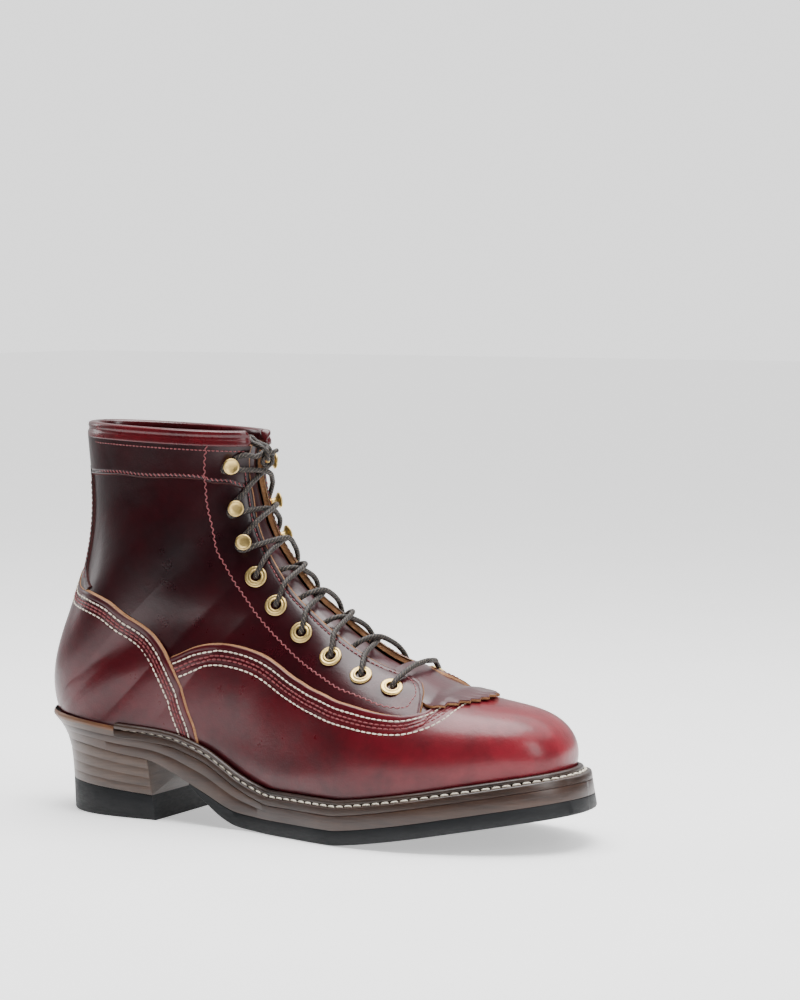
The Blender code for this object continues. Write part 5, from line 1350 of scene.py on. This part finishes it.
# the sole, in the same layers as the solids but with finer edges
heelTable = {"depth": (0.00, 0.09, 0.18, 0.32, 0.65, 1.00), "in": (0.00, 0.30, 0.54, 0.76, 0.93, 1.00)}
heelRound = {"share": (0.00, 0.03, 0.08, 0.15, 0.24, 0.29, 1.00), "rear": (1.00, 0.80, 0.45, 0.25, 0.16, 0.00, 0.00)}
heel = {"taper": 0.0140, "lift": 0.0180, "slope": 0.28, "breast": 0.240, "lean": 0.016}
sole = {"touch": 0.00005, "broken": 0.00015, "mark": 0.00005, "rubberFrom": 0.325, "weltFrom": 0.180,
        "randTo": 0.1785, "midMarks": (0.42,), "heelMarks": (0.26, 0.52, 0.77)}


def heelInset(share, heightOf):
    # how far the heel's side stands in: its taper by the depth under the seat, only round the rear
    x = heelBack + share * boot["length"]
    depth = np.clip((soleTop(x) - heightOf(x)) / soleTop(heelBack), 0.0, 1.0)
    return heel["taper"] * curve(heelTable, "in", depth, "depth") * curve(heelRound, "rear", share)


def liftTop(x):
    # the lift's top slopes down evenly toward the breast
    return heel["lift"] * (1 - heel["slope"] * soleShare(x) / heel["breast"])


def turnAt(share):
    # the turn at a share of the length, the inverse of shareAt
    return np.arccos(1 - 2 * np.clip(share, 0, 1)) / math.pi


def slabMesh(name, levels, look, node, start=0.0, count=260, breast=False):
    # a layer of the sole: at each station its edge points stand level above level, from the outer
    # side's top down and up again on the inner side; the heel's breast leans
    columns = {-1: [], 1: []}
    for inset, heightOf in levels:
        end = 1.0
        if breast:
            rise = heightOf(heelBack + heel["breast"] * boot["length"]) / boot["heelRise"]
            end = heel["breast"] + heel["lean"] * (1 - rise)
        turn = np.linspace(turnAt(start), turnAt(end), count)
        for side in (-1, 1):
            columns[side].append(edgePoint(turn, side, inset(shareAt(turn)), heightOf))
    points = np.stack(columns[-1] + columns[1][::-1], axis=1)
    finish(turnOut(sweepMesh(name, points, [look], smoothAngle=35)), (node,))


def rounded(topOf, bottomOf, marks):
    # levels from top to bottom with softly broken corners, and shallow lines at the marks, each
    # with the heel's inset at its own height
    edge = sole["broken"]
    corners = [(0.0, edge), (edge * 0.3, edge * 0.3), (edge, 0.0)]
    levels = [(back, lambda x, d=down: topOf(x) - d) for down, back in corners]
    for mark in marks:
        for step, deep in ((-0.012, 0.0), (-0.003, sole["mark"]), (0.003, sole["mark"]), (0.012, 0.0)):
            levels.append((deep, lambda x, m=mark + step: topOf(x) + (bottomOf(x) - topOf(x)) * m))
    levels += [(back, lambda x, d=down: bottomOf(x) + d) for down, back in corners[::-1]]
    return [(lambda s, b=back, h=height: b + heelInset(s, h), height) for back, height in levels]


def rubberTop(x):
    # just clear of the leather above it
    return leatherBottom(x) - sole["touch"]


def rubberLevel(inset, part):
    # a part of the way from the rubber's top to its bottom, which keeps a thin edge
    def height(x):
        return rubberTop(x) * (1 - part) + np.minimum(rubberBottom(x), rubberTop(x) - 0.0006) * part
    return lambda s: inset, height


def liftLevel(inset, heightOf):
    # the heel's own inset at that height, and a little more at a corner
    return lambda s: heelInset(s, heightOf) + inset, heightOf


def insoleLevel(inset, up):
    # inside the upper's wall, at a height over the seat
    inside = boot["wall"] + 2 * boot["curvedGap"] + inset
    return lambda s: curve(featherLine, "inset", s) + inside, lambda x: soleTop(x) + up


slabMesh("midsole_leather",
         rounded(lambda x: soleTop(x) - boot["welt"] - sole["touch"], leatherBottom, sole["midMarks"]),
         soleLook, "midsole")
slabMesh("heel_stack_leather", rounded(rubberTop, lambda x: liftTop(x) + sole["touch"], sole["heelMarks"]),
         heelLook, "heel_stack", breast=True, count=120)
slabMesh("rubber_sole_edge", [rubberLevel(*level) for level in
                              ((0.0003, 0.0), (0.0, 0.06), (0.0, 0.86), (0.0005, 0.96), (0.0014, 1.0))],
         rubberLook, "rubber_sole", start=sole["rubberFrom"])
slabMesh("heel_lift_rubber",
         [liftLevel(0.0003, liftTop), (lambda s: heelInset(s, liftTop), lambda x: liftTop(x) - 0.0005)]
         + [liftLevel(inset, lambda x, up=up: np.full_like(x, up)) for inset, up in
            ((0.0, 0.0012), (0.0003, 0.0004), (0.0009, 0.0))],
         rubberLook, "heel_lift", breast=True, count=120)
slabMesh("insole_leather", [insoleLevel(0.0006, 0.0020), insoleLevel(0.0, 0.0014),
                            insoleLevel(0.0, boot["gap"] - boot["welt"])],
         insoleLook, "insole")


def lipInset(share):
    # the storm lip stands just clear of the overlays round the upper
    return (curve(featherLine, "inset", share) - boot["overlay"] - boot["overlayGap"] - boot["curvedGap"]
            - curve(featherLine, "ease", share))


def stripMesh(name, section, turn, sides, looks, node, slots=None):
    # a strip round the sole's edge: section gives insets and heights over the seat at each share
    parts = []
    for turns, side in zip((turn, turn[::-1][1:]), sides):
        parts.append(np.stack([edgePoint(turns, side, inset, lambda x, u=up: soleTop(x) + u)
                               for inset, up in section(shareAt(turns))], axis=1))
    finish(turnOut(sweepMesh(name, np.concatenate(parts), looks, slots=slots)), (node,))


def weltSection(share):
    # the flat that carries the stitches, a channel beside them and the storm lip against the upper
    lip = lipInset(share)
    inside = curve(featherLine, "inset", share) + boot["wall"] + boot["gap"]
    channel = lip * 0.42
    return ((0.0003, -boot["welt"]), (0.0, -boot["welt"] + 0.0003), (0.0, -0.0009), (0.0003, -0.0003),
            (0.0009, 0.0), (channel - 0.0009, 0.0), (channel - 0.0004, -0.0004), (channel + 0.0005, -0.0004),
            (channel + 0.0010, 0.0),
            (lip - 0.0027, 0.0002), (lip - 0.0033, 0.0010), (lip - 0.0034, 0.0020), (lip - 0.0029, 0.0028),
            (lip - 0.0021, 0.0032), (lip - 0.0012, 0.0032), (lip - 0.0005, 0.0028), (lip - 0.0001, 0.0018),
            (lip, 0.0), (inside, 0.0), (inside, -boot["welt"]))


def randSection(share):
    # the rand swells out over the heel stack and rises behind, then meets the upper
    lip = lipInset(share)
    inside = curve(featherLine, "inset", share) + boot["wall"] + boot["gap"]
    low = heelInset(share, lambda x: soleTop(x) - boot["welt"])
    rear = np.clip((0.11 - share) / 0.10, 0, 1)
    return ((low, -boot["welt"]), (low * 0.62, -0.0028), (low * 0.34, -0.0017 + 0.0006 * (1 - rear)),
            (low * 0.08, -0.0006 + 0.0003 * (1 - rear)), (0.0, 0.0), (0.0002, 0.0008 + 0.0008 * rear),
            (0.0007, 0.0014 + 0.0010 * rear), (lip * 0.45, 0.0012 + 0.0010 * rear), (lip * 0.6, -0.0002),
            (lip - 0.0010, -0.0004), (lip, 0.0), (inside, 0.0), (inside, -boot["welt"]))


stripMesh("storm_welt", weltSection, np.linspace(turnAt(sole["weltFrom"]), 1.0, 300), (-1, 1), [weltAndShadeLook],
          "welt")
# the rand's bands from its outer edge up: the lowest two take the heel stack's colour, the next four the tan rand,
# and its top, the channel against the upper and the hidden inside take the dark welt leather as painted shade
stripMesh("seat_rand", randSection, np.linspace(turnAt(sole["randTo"]), 0.0, 120), (-1, 1),
          [randLook, heelLook, weltAndShadeLook], "rand", np.array((1, 1, 0, 0, 0, 0, 2, 2, 2, 2, 2, 2, 2)))

weltStitch = {"from": 0.19, "up": 0.00035, "pitch": 0.0050, "length": 0.0044, "width": 0.0017, "high": 0.0012}
weltRows = []
for side in (-1, 1):
    turn = np.linspace(turnAt(weltStitch["from"]), 1.0, 500)
    points = edgePoint(turn, side, lipInset(shareAt(turn)) * 0.42, lambda x: soleTop(x) + weltStitch["up"])
    weltRows.append(onLine(points, np.tile((0.0, 0.0, 1.0), (len(points), 1)), weltStitch["pitch"],
                           weltStitch["length"], weltStitch["width"], weltStitch["high"], slant=0.12 * side))
stitchMesh("welt_stitches", weltRows, weltThread)
print("boot: sole built")
